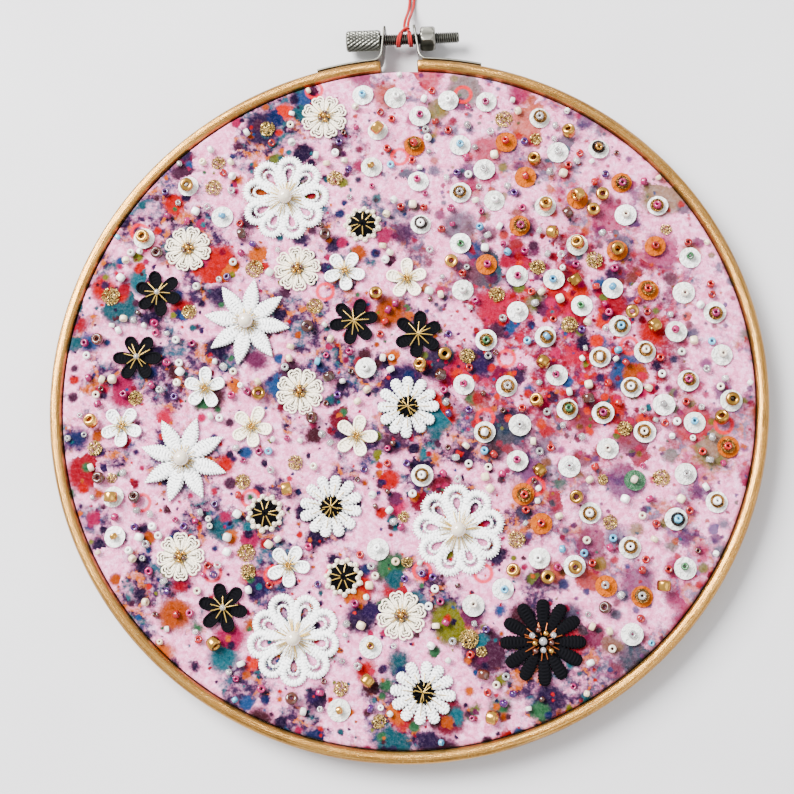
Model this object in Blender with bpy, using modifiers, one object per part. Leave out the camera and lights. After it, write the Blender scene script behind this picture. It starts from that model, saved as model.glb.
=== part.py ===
"""Hoop embroidery art: felt stretched in a gold-painted wooden hoop, with lace flowers and sequins sewn on.

Metres, +Z up. The hoop lies on its back, so +Z is the way its face looks, and +Y points to its screw.
The origin is under the middle of the whole, the hanging thread left out. Sizes below are in
millimetres about the hoop's own centre, and MM turns them into metres.
"""

import math
import random
from collections import namedtuple

import bmesh
import bpy
from mathutils import Vector

MM = 0.001
GAP = 0.3
FINE_MERGE = 0.00001

# Outer wooden ring, open at the screw
HOOP_RADIUS = 101.5
RIM_WIDTH = 3.4
RIM_DEPTH = 10.0
RIM_ROUNDING = 0.8
RING_STEPS = 72
RING_OPENING = 10.9

# Felt, stretched over the inner ring and held between the two
FELT_THICKNESS = 1.2
FELT_FRONT = 9.2
FELT_ROUNDING = 0.7
FELT_HEM_HEIGHT = 1.0

# Inner wooden ring
INNER_RING_WIDTH = 3.4

# Screw clamp
PLATE_THICKNESS = 0.6
PLATE_WIDTH = 8.0
STRAP_REACH = 24.3
FOLD_HEIGHT = 3.4
EAR_TIP_CURL = 0.25
EAR_HEIGHT = 10.95
EarShape = namedtuple("EarShape", "side strap_start foot_x top_x")
LEFT_EAR = EarShape(-1, 7.5, 5.0, 4.3)
RIGHT_EAR = EarShape(1, 8.0, 5.8, 4.8)
BOLT_HEIGHT = 8.2
BOLT_RADIUS = 1.75
BOLT_END_X = 18.0
BOLT_TIP_CHAMFER = 0.4
KNOB_OUTER_X = 15.8
KNOB_INNER_X = 5.5
KNOB_RADIUS = 3.1
KNOB_CHAMFER = 0.3
NUT_CORNER_RADIUS = 4.0
NUT_START_X = 6.35
NUT_END_X = 10.8
BOLT_STEPS = 16

# Coral thread: two wraps round the bolt, a knot over them, and a loop to hang the hoop by
THREAD_DIAMETER = 0.9
WRAP_X = (0.2, 3.3)
KNOT_HALF_SIZE = (1.9, 0.75, 0.8)
KNOT_X = 1.9
KNOT_RISE = 2.95
THREAD_STEP = 2.2
THREAD_ROUTE = [
    (1.60, 113.70, 5.00),
    (1.75, 115.30, 4.75),
    (2.15, 117.40, 3.70),
    (2.65, 119.80, 2.00),
    (3.05, 122.40, 0.80),
    (3.20, 125.50, 0.50),
    (2.60, 131.00, 0.50),
    (0.80, 137.50, 0.50),
    (-1.60, 144.50, 0.50),
    (-3.10, 151.50, 0.50),
    (-2.00, 157.80, 0.50),
    (2.20, 161.20, 0.50),
    (7.00, 159.20, 0.50),
    (9.40, 153.20, 0.50),
    (9.00, 146.00, 0.50),
    (7.80, 138.50, 0.50),
    (6.20, 131.50, 0.50),
    (4.75, 125.50, 0.50),
    (4.35, 122.40, 0.80),
    (3.80, 119.80, 2.00),
    (3.25, 117.40, 3.70),
    (2.85, 115.30, 4.75),
    (2.70, 113.70, 5.00),
]

# Lace flowers: an outline of petals round a raised middle of beads or stitches
FlowerKind = namedtuple(
    "FlowerKind", "name colour count radius petals corners waist slimness middle rise"
)
FLOWER_KINDS = [
    FlowerKind("star_flower", "white lace", 2, 13.0, 8, 4, 0.36, 1.25, 2.2, 4.2),
    FlowerKind("loop_flower", "white lace", 3, 12.4, 9, 4, 0.74, 0.60, 2.2, 3.6),
    FlowerKind("dark_daisy", "black lace", 1, 12.2, 12, 4, 0.52, 0.70, 2.6, 3.2),
    FlowerKind("daisy", "white lace", 3, 9.2, 12, 4, 0.55, 0.70, 2.2, 2.4),
    FlowerKind("dark_flower", "black lace", 5, 6.9, 6, 4, 0.42, 0.75, 1.5, 2.2),
    FlowerKind("scallop", "cream lace", 6, 6.5, 8, 4, 0.80, 0.55, 1.6, 2.6),
    FlowerKind("small_flower", "white lace", 7, 6.0, 5, 4, 0.46, 0.70, 1.2, 2.4),
    FlowerKind("knot_pad", "black lace", 3, 5.5, 10, 2, 0.72, 1.00, 1.5, 2.0),
]
LARGE_FLOWER = 9.0
PETAL_EDGE = 0.8
PETAL_CROWN = 1.5
CROWN_SHARE = 0.6
CROWN_DIP = 0.5
ROUNDED_SHARE = 0.7
ROUNDED_DROP = 0.4

# Sequins with a cup and a bead on top
SEQUIN_RADIUS = 3.0
SEQUIN_EDGE = 0.5
CUP_RADIUS = 1.9
CUP_HEIGHT = 1.1
BEAD_RADIUS = 1.1
STACK_HEIGHT = 2.6
SEQUIN_STEPS = 12
StackKind = namedtuple("StackKind", "name colour count")
STACK_KINDS = [
    StackKind("white_stack", "white sequin", 8),
    StackKind("orange_stack", "orange sequin", 4),
]

# Where they are sewn: flowers fill the left and the foot, sequins the rest
SCATTER_SEED = 25
SEWN_EDGE = 94.5
FLOWER_FIELD_X = 16.0
FLOWER_FIELD_LEAN = 0.42
FLOWER_SPACING = 1.2
LARGE_SPACING = 12.0
STACK_SPACING = 9.0

# Colours with their roughness and metallic value
Finish = namedtuple("Finish", "red green blue roughness metallic")
FINISHES = {
    "gold paint": Finish(0.52, 0.33, 0.13, 0.42, 0.6),
    "bare wood": Finish(0.62, 0.45, 0.27, 0.7, 0.0),
    "felt": Finish(0.82, 0.66, 0.76, 0.95, 0.0),
    "steel": Finish(0.55, 0.55, 0.53, 0.35, 1.0),
    "coral thread": Finish(0.88, 0.12, 0.1, 0.7, 0.0),
    "white lace": Finish(0.88, 0.9, 0.9, 0.8, 0.0),
    "cream lace": Finish(0.85, 0.8, 0.68, 0.8, 0.0),
    "black lace": Finish(0.012, 0.012, 0.014, 0.7, 0.0),
    "white sequin": Finish(0.9, 0.91, 0.87, 0.35, 0.0),
    "orange sequin": Finish(0.95, 0.3, 0.04, 0.35, 0.0),
}

INNER_WALL = HOOP_RADIUS - RIM_WIDTH
FELT_RADIUS = INNER_WALL - GAP
INNER_RING_RADIUS = FELT_RADIUS - FELT_THICKNESS - GAP
INNER_RING_TOP = FELT_FRONT - FELT_THICKNESS - GAP
BOLT_Y = HOOP_RADIUS + BOLT_HEIGHT
BOLT_Z = RIM_DEPTH / 2
HOLE_RADIUS = BOLT_RADIUS + GAP
TOP_Y = BOLT_Y + NUT_CORNER_RADIUS
CENTRE_Y = (HOOP_RADIUS - TOP_Y) / 2
SEWN_Z = FELT_FRONT + GAP


def clear_scene():
    """Removes what the scene holds."""
    for old in list(bpy.data.objects):
        bpy.data.objects.remove(old, do_unlink=True)


def make_collection(name):
    """A new collection in the scene."""
    collection = bpy.data.collections.new(name)
    bpy.context.scene.collection.children.link(collection)
    return collection


def make_material(name):
    """A Principled material from the table of finishes."""
    finish = FINISHES[name]
    material = bpy.data.materials.new(name)
    material.use_nodes = True
    shader = material.node_tree.nodes["Principled BSDF"]
    shader.inputs["Base Color"].default_value = (finish.red, finish.green, finish.blue, 1)
    shader.inputs["Roughness"].default_value = finish.roughness
    shader.inputs["Metallic"].default_value = finish.metallic
    material.diffuse_color = (finish.red, finish.green, finish.blue, 1)
    return material


def scaled(points):
    """Points in millimetres as vectors in metres."""
    return [Vector(point) * MM for point in points]


class Model:
    """The collections, the hoop's centre and the way a piece is added to them."""

    def __init__(self):
        clear_scene()
        self.parts = make_collection("hoop embroidery art")
        self.cutters = make_collection("cutters")
        self.centre = bpy.data.objects.new("hoop_centre", None)
        self.centre.location = (0, CENTRE_Y * MM, 0)
        self.parts.objects.link(self.centre)

    def add(self, name, data, finish):
        """A piece of the object, with a material of its own."""
        piece = bpy.data.objects.new(name, data)
        piece.parent = self.centre
        data.materials.append(make_material(finish))
        self.parts.objects.link(piece)
        return piece

    def add_cutter(self, name, mesh):
        """A guide that a Boolean uses, left out of the object."""
        cutter = bpy.data.objects.new(name, mesh)
        cutter.parent = self.centre
        cutter.hide_render = True
        cutter.display_type = "WIRE"
        self.cutters.objects.link(cutter)
        return cutter


def finished_mesh(name, bm):
    """The mesh made from a bmesh, with its faces pointing out and its round sides smooth."""
    bmesh.ops.recalc_face_normals(bm, faces=bm.faces)
    mesh = bpy.data.meshes.new(name)
    bm.to_mesh(mesh)
    bm.free()
    mesh.shade_smooth()
    mesh.set_sharp_from_angle(angle=math.radians(35))
    return mesh


def profile_mesh(name, points, closed):
    """A line of edges in the XZ plane, from pairs of radius and height."""
    bm = bmesh.new()
    verts = [bm.verts.new(p) for p in scaled([(radius, 0, height) for radius, height in points])]
    for first, second in zip(verts, verts[1:]):
        bm.edges.new((first, second))
    if closed:
        bm.edges.new((verts[-1], verts[0]))
    mesh = bpy.data.meshes.new(name)
    bm.to_mesh(mesh)
    bm.free()
    return mesh


def turn(piece, steps):
    """Turns a profile about Z."""
    screw = piece.modifiers.new("turned", "SCREW")
    screw.axis = "Z"
    screw.steps = steps
    screw.render_steps = steps
    screw.use_merge_vertices = True
    screw.merge_threshold = FINE_MERGE
    screw.use_smooth_shade = True


def cut(piece, cutter):
    """Takes a cutter's shape out of a piece."""
    boolean = piece.modifiers.new("cut by " + cutter.name, "BOOLEAN")
    boolean.operation = "DIFFERENCE"
    boolean.object = cutter


def box_mesh(name, size, centre):
    """A box, from its size and centre in millimetres."""
    bm = bmesh.new()
    bmesh.ops.create_cube(bm, size=1)
    bmesh.ops.scale(bm, vec=Vector(size) * MM, verts=bm.verts)
    bmesh.ops.translate(bm, vec=Vector(centre) * MM, verts=bm.verts)
    return finished_mesh(name, bm)


def rod_mesh(name, radius, start_x, end_x, steps):
    """A rod along X on the bolt's axis."""
    bm = bmesh.new()
    bmesh.ops.create_cone(
        bm,
        cap_ends=True,
        segments=steps,
        radius1=radius * MM,
        radius2=radius * MM,
        depth=(end_x - start_x) * MM,
    )
    for vert in bm.verts:
        middle = Vector(((start_x + end_x) / 2, BOLT_Y, BOLT_Z)) * MM
        vert.co = Vector((vert.co.z, vert.co.y, -vert.co.x)) + middle
    return finished_mesh(name, bm)


def make_rings(model):
    """The two wooden rings. The outer one is open where the screw draws its ends together."""
    front = RIM_DEPTH - RIM_ROUNDING
    outer_profile = [
        (HOOP_RADIUS - RIM_ROUNDING, RIM_DEPTH),
        (HOOP_RADIUS, front),
        (HOOP_RADIUS, 0),
        (INNER_WALL, 0),
        (INNER_WALL, front),
        (INNER_WALL + RIM_ROUNDING, RIM_DEPTH),
    ]
    outer = model.add("outer_ring", profile_mesh("outer ring", outer_profile, True), "gold paint")
    turn(outer, RING_STEPS)
    opening_size = (RING_OPENING, 6 * RIM_WIDTH, 3 * RIM_DEPTH)
    opening = box_mesh("ring opening", opening_size, (0, HOOP_RADIUS, RIM_DEPTH / 2))
    cut(outer, model.add_cutter("ring_opening", opening))

    inner_wall = INNER_RING_RADIUS - INNER_RING_WIDTH
    inner_profile = [
        (INNER_RING_RADIUS, INNER_RING_TOP),
        (INNER_RING_RADIUS, 0),
        (inner_wall, 0),
        (inner_wall, INNER_RING_TOP),
    ]
    inner = model.add("inner_ring", profile_mesh("inner ring", inner_profile, True), "bare wood")
    turn(inner, RING_STEPS)


def make_felt(model):
    """One sheet of felt: the taut front, and the turned-down edge that the rings hold."""
    hidden_side = FELT_RADIUS - FELT_THICKNESS
    back = FELT_FRONT - FELT_THICKNESS
    profile = [
        (0, FELT_FRONT),
        (FELT_RADIUS - FELT_ROUNDING, FELT_FRONT),
        (FELT_RADIUS - FELT_ROUNDING / 4, FELT_FRONT - FELT_ROUNDING / 4),
        (FELT_RADIUS, FELT_FRONT - FELT_ROUNDING),
        (FELT_RADIUS, FELT_HEM_HEIGHT),
        (hidden_side, FELT_HEM_HEIGHT),
        (hidden_side, back),
        (0, back),
    ]
    turn(model.add("felt", profile_mesh("felt", profile, False), "felt"), RING_STEPS)


def plate_line(ear):
    """The middle line of a bracket's plate, from the strap's far end to the ear's curled tip."""
    strap_radius = HOOP_RADIUS + GAP + PLATE_THICKNESS / 2
    far_angle = math.asin(STRAP_REACH / strap_radius)
    near_angle = math.asin(ear.strap_start / strap_radius)
    line = []
    for step in range(4):
        angle = far_angle + (near_angle - far_angle) * step / 3
        line.append((strap_radius * math.sin(angle), strap_radius * math.cos(angle)))
    start_x, start_y = line[-1]
    fold_width = start_x - ear.foot_x
    for step in range(1, 4):
        angle = math.radians(270 - 90 * step / 3)
        line.append(
            (
                start_x + fold_width * math.cos(angle),
                start_y + FOLD_HEIGHT * (1 + math.sin(angle)),
            )
        )
    tip_y = HOOP_RADIUS + EAR_HEIGHT
    line.append((ear.top_x, tip_y - 3 * EAR_TIP_CURL))
    line.append((ear.top_x - EAR_TIP_CURL, tip_y))
    return [(ear.side * x, y) for x, y in line]


def make_bracket(model, name, ear):
    """A folded steel plate: a strap along the ring's outside, and an ear that the bolt goes through."""
    bm = bmesh.new()
    low = (RIM_DEPTH - PLATE_WIDTH) / 2
    verts = [bm.verts.new(p) for p in scaled([(x, y, low) for x, y in plate_line(ear)])]
    edges = [bm.edges.new(pair) for pair in zip(verts, verts[1:])]
    drawn = bmesh.ops.extrude_edge_only(bm, edges=edges)
    raised = [item for item in drawn["geom"] if isinstance(item, bmesh.types.BMVert)]
    bmesh.ops.translate(bm, vec=(0, 0, PLATE_WIDTH * MM), verts=raised)
    bracket = model.add(name, finished_mesh(name, bm), "steel")
    plate = bracket.modifiers.new("plate", "SOLIDIFY")
    plate.thickness = PLATE_THICKNESS * MM
    plate.offset = 0
    plate.use_even_offset = True
    reach = sorted((ear.side * (ear.top_x - 2), ear.side * (ear.foot_x + 2)))
    hole = rod_mesh(name + " hole", HOLE_RADIUS, reach[0], reach[1], BOLT_STEPS)
    cut(bracket, model.add_cutter(name + "_hole", hole))


def make_screw(model):
    """The screw: its thumb knob and its shank are one turned piece, laid along X."""
    profile = [
        (0, KNOB_OUTER_X),
        (KNOB_RADIUS - KNOB_CHAMFER, KNOB_OUTER_X),
        (KNOB_RADIUS, KNOB_OUTER_X - KNOB_CHAMFER),
        (KNOB_RADIUS, KNOB_INNER_X),
        (BOLT_RADIUS, KNOB_INNER_X),
        (BOLT_RADIUS, -BOLT_END_X + BOLT_TIP_CHAMFER),
        (BOLT_RADIUS - BOLT_TIP_CHAMFER, -BOLT_END_X),
        (0, -BOLT_END_X),
    ]
    screw = model.add("clamp_screw", profile_mesh("clamp screw", profile, False), "steel")
    turn(screw, BOLT_STEPS)
    screw.location = Vector((0, BOLT_Y, BOLT_Z)) * MM
    screw.rotation_euler = (0, math.radians(-90), 0)

    nut = model.add(
        "hex_nut", rod_mesh("hex nut", NUT_CORNER_RADIUS, NUT_START_X, NUT_END_X, 6), "steel"
    )
    hole = rod_mesh("nut hole", HOLE_RADIUS, NUT_START_X - 2, NUT_END_X + 2, BOLT_STEPS)
    cut(nut, model.add_cutter("nut_hole", hole))


def smooth_route(points, step):
    """Points about a step apart on the smooth curve through a route's own points."""
    ends = [2 * points[0] - points[1]] + points + [2 * points[-1] - points[-2]]
    fine = []
    for before, start, end, after in zip(ends, ends[1:], ends[2:], ends[3:]):
        for tick in range(20):
            t = tick / 20
            fine.append(
                0.5
                * (
                    2 * start
                    + (end - before) * t
                    + (2 * before - 5 * start + 4 * end - after) * t**2
                    + (3 * start - before - 3 * end + after) * t**3
                )
            )
    fine.append(points[-1])
    lengths = [0.0]
    for first, second in zip(fine, fine[1:]):
        lengths.append(lengths[-1] + (second - first).length)
    count = round(lengths[-1] / step)
    route = []
    index = 0
    for number in range(count + 1):
        target = lengths[-1] * number / count
        while index < len(fine) - 2 and lengths[index + 1] < target:
            index += 1
        share = (target - lengths[index]) / (lengths[index + 1] - lengths[index])
        route.append(fine[index].lerp(fine[index + 1], share))
    return route


def make_thread(model):
    """The thread's wraps and knot on the bolt, and the loop that lies beyond them."""
    wrap_radius = HOLE_RADIUS + THREAD_DIAMETER / 2
    bpy.ops.mesh.primitive_torus_add(
        major_segments=16,
        minor_segments=6,
        major_radius=wrap_radius * MM,
        minor_radius=THREAD_DIAMETER / 2 * MM,
    )
    first_wrap = bpy.context.object
    wrap_mesh = first_wrap.data
    bpy.data.objects.remove(first_wrap, do_unlink=True)

    bm = bmesh.new()
    bmesh.ops.create_uvsphere(bm, u_segments=12, v_segments=8, radius=1)
    bmesh.ops.scale(bm, vec=Vector(KNOT_HALF_SIZE) * MM, verts=bm.verts)
    hitch = model.add("thread_hitch", finished_mesh("thread hitch", bm), "coral thread")
    hitch.location = Vector((KNOT_X, BOLT_Y + KNOT_RISE, BOLT_Z)) * MM
    for number, wrap_x in enumerate(WRAP_X, 1):
        wrap = model.add_cutter(f"thread_wrap_{number}", wrap_mesh)
        wrap.location = Vector((wrap_x, BOLT_Y, BOLT_Z)) * MM
        wrap.rotation_euler = (0, math.radians(90), 0)
        union = hitch.modifiers.new(wrap.name, "BOOLEAN")
        union.operation = "UNION"
        union.object = wrap

    curve = bpy.data.curves.new("hanging thread", "CURVE")
    curve.dimensions = "3D"
    curve.bevel_depth = THREAD_DIAMETER / 2 * MM
    curve.bevel_resolution = 2
    curve.use_fill_caps = True
    route = smooth_route(scaled(THREAD_ROUTE), THREAD_STEP * MM)
    spline = curve.splines.new("POLY")
    spline.points.add(len(route) - 1)
    for point, place in zip(spline.points, route):
        point.co = (*place, 1)
    model.add("hanging_thread", curve, "coral thread")


def petal_reach(angle, kind):
    """The share of a flower's radius that its outline has at an angle: 1 at a tip, waist between tips."""
    swing = abs(math.cos(kind.petals * angle / 2))
    return kind.waist + (1 - kind.waist) * swing**kind.slimness


def flower_mesh(kind):
    """A low turned form whose rows are drawn in between the petals, with a raised middle."""
    rows = [(kind.radius, 0), (kind.radius, PETAL_EDGE)]
    middle_rows = [(kind.middle, PETAL_CROWN)]
    if kind.radius > LARGE_FLOWER:
        rows.append((kind.radius * CROWN_SHARE, PETAL_CROWN))
        middle_rows.append((kind.middle * ROUNDED_SHARE, kind.rise - ROUNDED_DROP))
    profile = [(0, 0)] + rows + middle_rows + [(0, kind.rise)]

    bm = bmesh.new()
    verts = [bm.verts.new(p) for p in scaled([(radius, 0, height) for radius, height in profile])]
    edges = [bm.edges.new(pair) for pair in zip(verts, verts[1:])]
    bmesh.ops.spin(
        bm,
        geom=verts + edges,
        cent=(0, 0, 0),
        axis=(0, 0, 1),
        angle=math.tau,
        steps=kind.petals * kind.corners,
    )
    bmesh.ops.remove_doubles(bm, verts=bm.verts, dist=FINE_MERGE)
    for vert in bm.verts:
        radius = math.hypot(vert.co.x, vert.co.y) / MM
        if radius < kind.middle * 1.01:
            continue
        reach = petal_reach(math.atan2(vert.co.y, vert.co.x), kind)
        if radius < kind.radius * 0.99:
            vert.co.z -= CROWN_DIP * (1 - reach) / (1 - kind.waist) * MM
            reach = (1 + reach) / 2
        vert.co.x *= reach
        vert.co.y *= reach
    return finished_mesh(kind.name, bm)


def stack_mesh(kind):
    """A sequin, the smaller cup on it and the bead that holds both."""
    profile = [
        (0, 0),
        (SEQUIN_RADIUS, 0),
        (SEQUIN_RADIUS, SEQUIN_EDGE),
        (CUP_RADIUS, CUP_HEIGHT),
        (BEAD_RADIUS, CUP_HEIGHT),
        (BEAD_RADIUS * ROUNDED_SHARE, STACK_HEIGHT - ROUNDED_DROP),
        (0, STACK_HEIGHT),
    ]
    bm = bmesh.new()
    verts = [bm.verts.new(p) for p in scaled([(radius, 0, height) for radius, height in profile])]
    edges = [bm.edges.new(pair) for pair in zip(verts, verts[1:])]
    bmesh.ops.spin(
        bm,
        geom=verts + edges,
        cent=(0, 0, 0),
        axis=(0, 0, 1),
        angle=math.tau,
        steps=SEQUIN_STEPS,
    )
    bmesh.ops.remove_doubles(bm, verts=bm.verts, dist=FINE_MERGE)
    return finished_mesh(kind.name, bm)


def clear_of(place, radius, sewn, spacing):
    """Whether a round piece fits beside those that are already sewn on."""
    for other, other_radius in sewn:
        room = radius + other_radius + spacing
        if min(radius, other_radius) > LARGE_FLOWER:
            room += LARGE_SPACING
        if math.dist(place, other) < room:
            return False
    return True


def free_place(chooser, radius, sewn, spacing, side):
    """A free place for a round piece, with side -1 in the flowers' field and +1 outside it."""
    while True:
        distance = (SEWN_EDGE - radius) * math.sqrt(chooser.random())
        angle = chooser.uniform(-math.pi, math.pi)
        place = (distance * math.cos(angle), distance * math.sin(angle))
        past_edge = place[0] + FLOWER_FIELD_LEAN * place[1] - FLOWER_FIELD_X
        if past_edge * side > 0 and clear_of(place, radius, sewn, spacing):
            return place


def sew_on(model):
    """Places the flowers, the largest first, and then the sequins."""
    chooser = random.Random(SCATTER_SEED)
    sewn = []
    for kinds, spacing, side in (
        (FLOWER_KINDS, FLOWER_SPACING, -1),
        (STACK_KINDS, STACK_SPACING, 1),
    ):
        for kind in kinds:
            radius = kind.radius if side < 0 else SEQUIN_RADIUS
            for number in range(1, kind.count + 1):
                mesh = flower_mesh(kind) if side < 0 else stack_mesh(kind)
                place = free_place(chooser, radius, sewn, spacing, side)
                sewn.append((place, radius))
                piece = model.add(f"{kind.name}_{number}", mesh, kind.colour)
                piece.location = Vector((*place, SEWN_Z)) * MM
                piece.rotation_euler = (0, 0, chooser.uniform(-math.pi, math.pi))


def main():
    """Builds the whole object."""
    model = Model()
    make_rings(model)
    make_felt(model)
    make_bracket(model, "bracket_left", LEFT_EAR)
    make_bracket(model, "bracket_right", RIGHT_EAR)
    make_screw(model)
    make_thread(model)
    sew_on(model)


main()
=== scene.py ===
"""Looks of the hoop embroidery art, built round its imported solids.

The frame is in metres, +Z up. Shapes are worked out in millimetres about the hoop's own centre, with
the felt's front up and the screw at +Y, and turned into metres when a piece is made.
"""

import math
import random
from collections import defaultdict

import bpy
import numpy as np
from mathutils import Matrix, Vector


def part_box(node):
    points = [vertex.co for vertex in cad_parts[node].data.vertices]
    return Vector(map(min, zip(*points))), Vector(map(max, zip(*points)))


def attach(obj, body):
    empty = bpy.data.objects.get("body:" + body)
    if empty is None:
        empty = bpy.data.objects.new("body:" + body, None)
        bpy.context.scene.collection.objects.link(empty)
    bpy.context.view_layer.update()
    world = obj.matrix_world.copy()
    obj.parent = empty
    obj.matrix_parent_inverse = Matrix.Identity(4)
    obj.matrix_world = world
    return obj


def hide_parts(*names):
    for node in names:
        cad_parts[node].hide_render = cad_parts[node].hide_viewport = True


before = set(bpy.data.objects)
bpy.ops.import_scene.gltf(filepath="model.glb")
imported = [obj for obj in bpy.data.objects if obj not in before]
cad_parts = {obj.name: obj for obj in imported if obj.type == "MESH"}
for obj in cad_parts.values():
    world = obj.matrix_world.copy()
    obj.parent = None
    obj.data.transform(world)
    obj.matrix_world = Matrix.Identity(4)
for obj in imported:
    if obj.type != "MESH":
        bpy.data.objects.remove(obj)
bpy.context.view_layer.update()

# Sizes taken from the frame, in millimetres
MM = 0.001
ring_low, ring_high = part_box("outer_ring")
HOOP_RADIUS = (ring_high.x - ring_low.x) / 2 / MM
CENTRE_Y = ring_low.y / MM + HOOP_RADIUS
RIM_DEPTH = ring_high.z / MM
FELT_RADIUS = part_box("felt")[1].x / MM
FELT_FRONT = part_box("felt")[1].z / MM
HEM_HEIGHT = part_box("felt")[0].z / MM
INNER_RING_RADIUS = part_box("inner_ring")[1].x / MM
INNER_RING_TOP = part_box("inner_ring")[1].z / MM
RIM_WIDTH = 3.4
RING_OPENING = 10.9
FELT_THICKNESS = 1.2
FELT_FOLD = 1.3

# Screw clamp
PLATE_THICKNESS = 0.6
PLATE_WIDTH = 8.0
STRAP_REACH = 24.3
FOLD_HEIGHT = 3.4
EAR_TIP_CURL = 0.25
EAR_HEIGHT = 10.95
# Each ear's side, the start of its strap, and how far out its foot and its top are
LEFT_EAR = (-1, 7.5, 5.0, 4.3)
RIGHT_EAR = (1, 8.0, 5.8, 4.8)
BOLT_Y = HOOP_RADIUS + 8.2
BOLT_Z = RIM_DEPTH / 2
BOLT_RADIUS = 1.75
HOLE_RADIUS = 2.05
HOLE_STEPS = 40
BOLT_END_X = 18.0
THREAD_PITCH = 0.64
KNOB_OUTER_X = -15.8
KNOB_INNER_X = -5.5
KNOB_RADIUS = 3.1
KNURLS = 16
KNURL_LENGTH = 1.75
KNURL_DEPTH = 0.36
NUT_CORNER_RADIUS = 4.0
NUT_START_X = 6.35
NUT_END_X = 10.8

# Coral thread, on the same route as its solid
THREAD_DIAMETER = 0.9
WRAP_DIAMETER = 0.72
KNOT_DIAMETER = 0.85
# Where each wrap lies on the bolt, and how far its top leans
WRAPS = ((0.2, 0.5), (3.3, -0.25))
THREAD_STEP = 0.22
THREAD_TWIST = 1.7
THREAD_PLIES = 3
THREAD_SIDES = 15
THREAD_ROUTE = [
    (1.60, 113.70, 5.00),
    (1.75, 115.30, 4.75),
    (2.15, 117.40, 3.70),
    (2.65, 119.80, 2.00),
    (3.05, 122.40, 0.80),
    (3.20, 125.50, 0.50),
    (2.60, 131.00, 0.50),
    (0.80, 137.50, 0.50),
    (-1.60, 144.50, 0.50),
    (-3.10, 151.50, 0.50),
    (-2.00, 157.80, 0.50),
    (2.20, 161.20, 0.50),
    (7.00, 159.20, 0.50),
    (9.40, 153.20, 0.50),
    (9.00, 146.00, 0.50),
    (7.80, 138.50, 0.50),
    (6.20, 131.50, 0.50),
    (4.75, 125.50, 0.50),
    (4.35, 122.40, 0.80),
    (3.80, 119.80, 2.00),
    (3.25, 117.40, 3.70),
    (2.85, 115.30, 4.75),
    (2.70, 113.70, 5.00),
]
# The strands from the wraps through the knot to the loop's two ends, from the bolt's axis
KNOT_STRANDS = [
    [(0.65, 1.5, 1.75), (1.35, 2.3, 1.7), (2.25, 3.1, 1.2), (2.70, 4.1, 0.0)],
    [(3.15, 1.5, 1.75), (2.70, 2.3, 1.3), (1.95, 3.1, 0.5), (1.62, 4.1, 0.0)],
]
KNOT_X = 2.1
KNOT_RISE = 2.7

# Felt: how far out things are sewn on it, and the line past which sequins take over from flowers
FLOWER_FIELD_X = 16.0
FLOWER_FIELD_LEAN = 0.42
SEWN_EDGE = 94.5
SEQUIN_RADIUS = 3.0
SEQUIN_THICKNESS = 0.14
STITCH_PITCH = 0.92
STITCH_RIDGE = 0.17

# How the base colours differ from what they look like in the bright light: their spread about their
# own grey before and after they are deepened, and the deepening's share, growth and power
SPREAD_BEFORE = 0.71
SPREAD_AFTER = 1.535
DEEPENING = (0.188, 1.534, 4.1)

SEED = 41
chooser = random.Random(SEED)
field = np.random.default_rng(SEED)


class Shape:
    """Points in millimetres with their quads and triangles, and for each point a shade and a run."""

    def __init__(self, points, quads=(), tris=(), shade=0.5, run=None):
        self.points = np.asarray(points, float).reshape(-1, 3)
        self.quads = np.asarray(quads, int).reshape(-1, 4)
        self.tris = np.asarray(tris, int).reshape(-1, 3)
        self.shade = np.broadcast_to(np.asarray(shade, float), len(self.points))
        self.run = np.zeros_like(self.points) if run is None else np.asarray(run, float).reshape(-1, 3)

    def outward(self):
        """The same closed shape, with its faces turned to point out."""
        corners = np.vstack([self.tris, self.quads[:, :3], self.quads[:, [0, 2, 3]]])
        first, second, third = (self.points[corners[:, i]] for i in range(3))
        if np.einsum("ij,ij->", first, np.cross(second, third)) < 0:
            self.quads = self.quads[:, ::-1]
            self.tris = self.tris[:, ::-1]
        return self

    def moved(self, matrix, shade=None):
        """A copy moved by a 4x4 matrix."""
        matrix = np.array(matrix, float)
        points = self.points @ matrix[:3, :3].T + matrix[:3, 3]
        return Shape(points, self.quads, self.tris, self.shade if shade is None else shade, self.run)


def joined(shapes):
    """Several shapes as one."""
    starts = np.cumsum([0] + [len(shape.points) for shape in shapes])
    return Shape(
        np.vstack([shape.points for shape in shapes]),
        np.vstack([shape.quads + start for shape, start in zip(shapes, starts)]),
        np.vstack([shape.tris + start for shape, start in zip(shapes, starts)]),
        np.concatenate([shape.shade for shape in shapes]),
        np.vstack([shape.run for shape in shapes]),
    )


def at(x, y, z=0.0, turn=0.0, tilt=0.0, way=0.0, size=1.0):
    """A matrix that turns about Z, tips by tilt about a level line at the angle way, and then moves."""
    tip = Matrix.Rotation(tilt, 4, Vector((math.cos(way), math.sin(way), 0)))
    return Matrix.Translation((x, y, z)) @ tip @ Matrix.Rotation(turn, 4, "Z") @ Matrix.Scale(size, 4)


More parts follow.
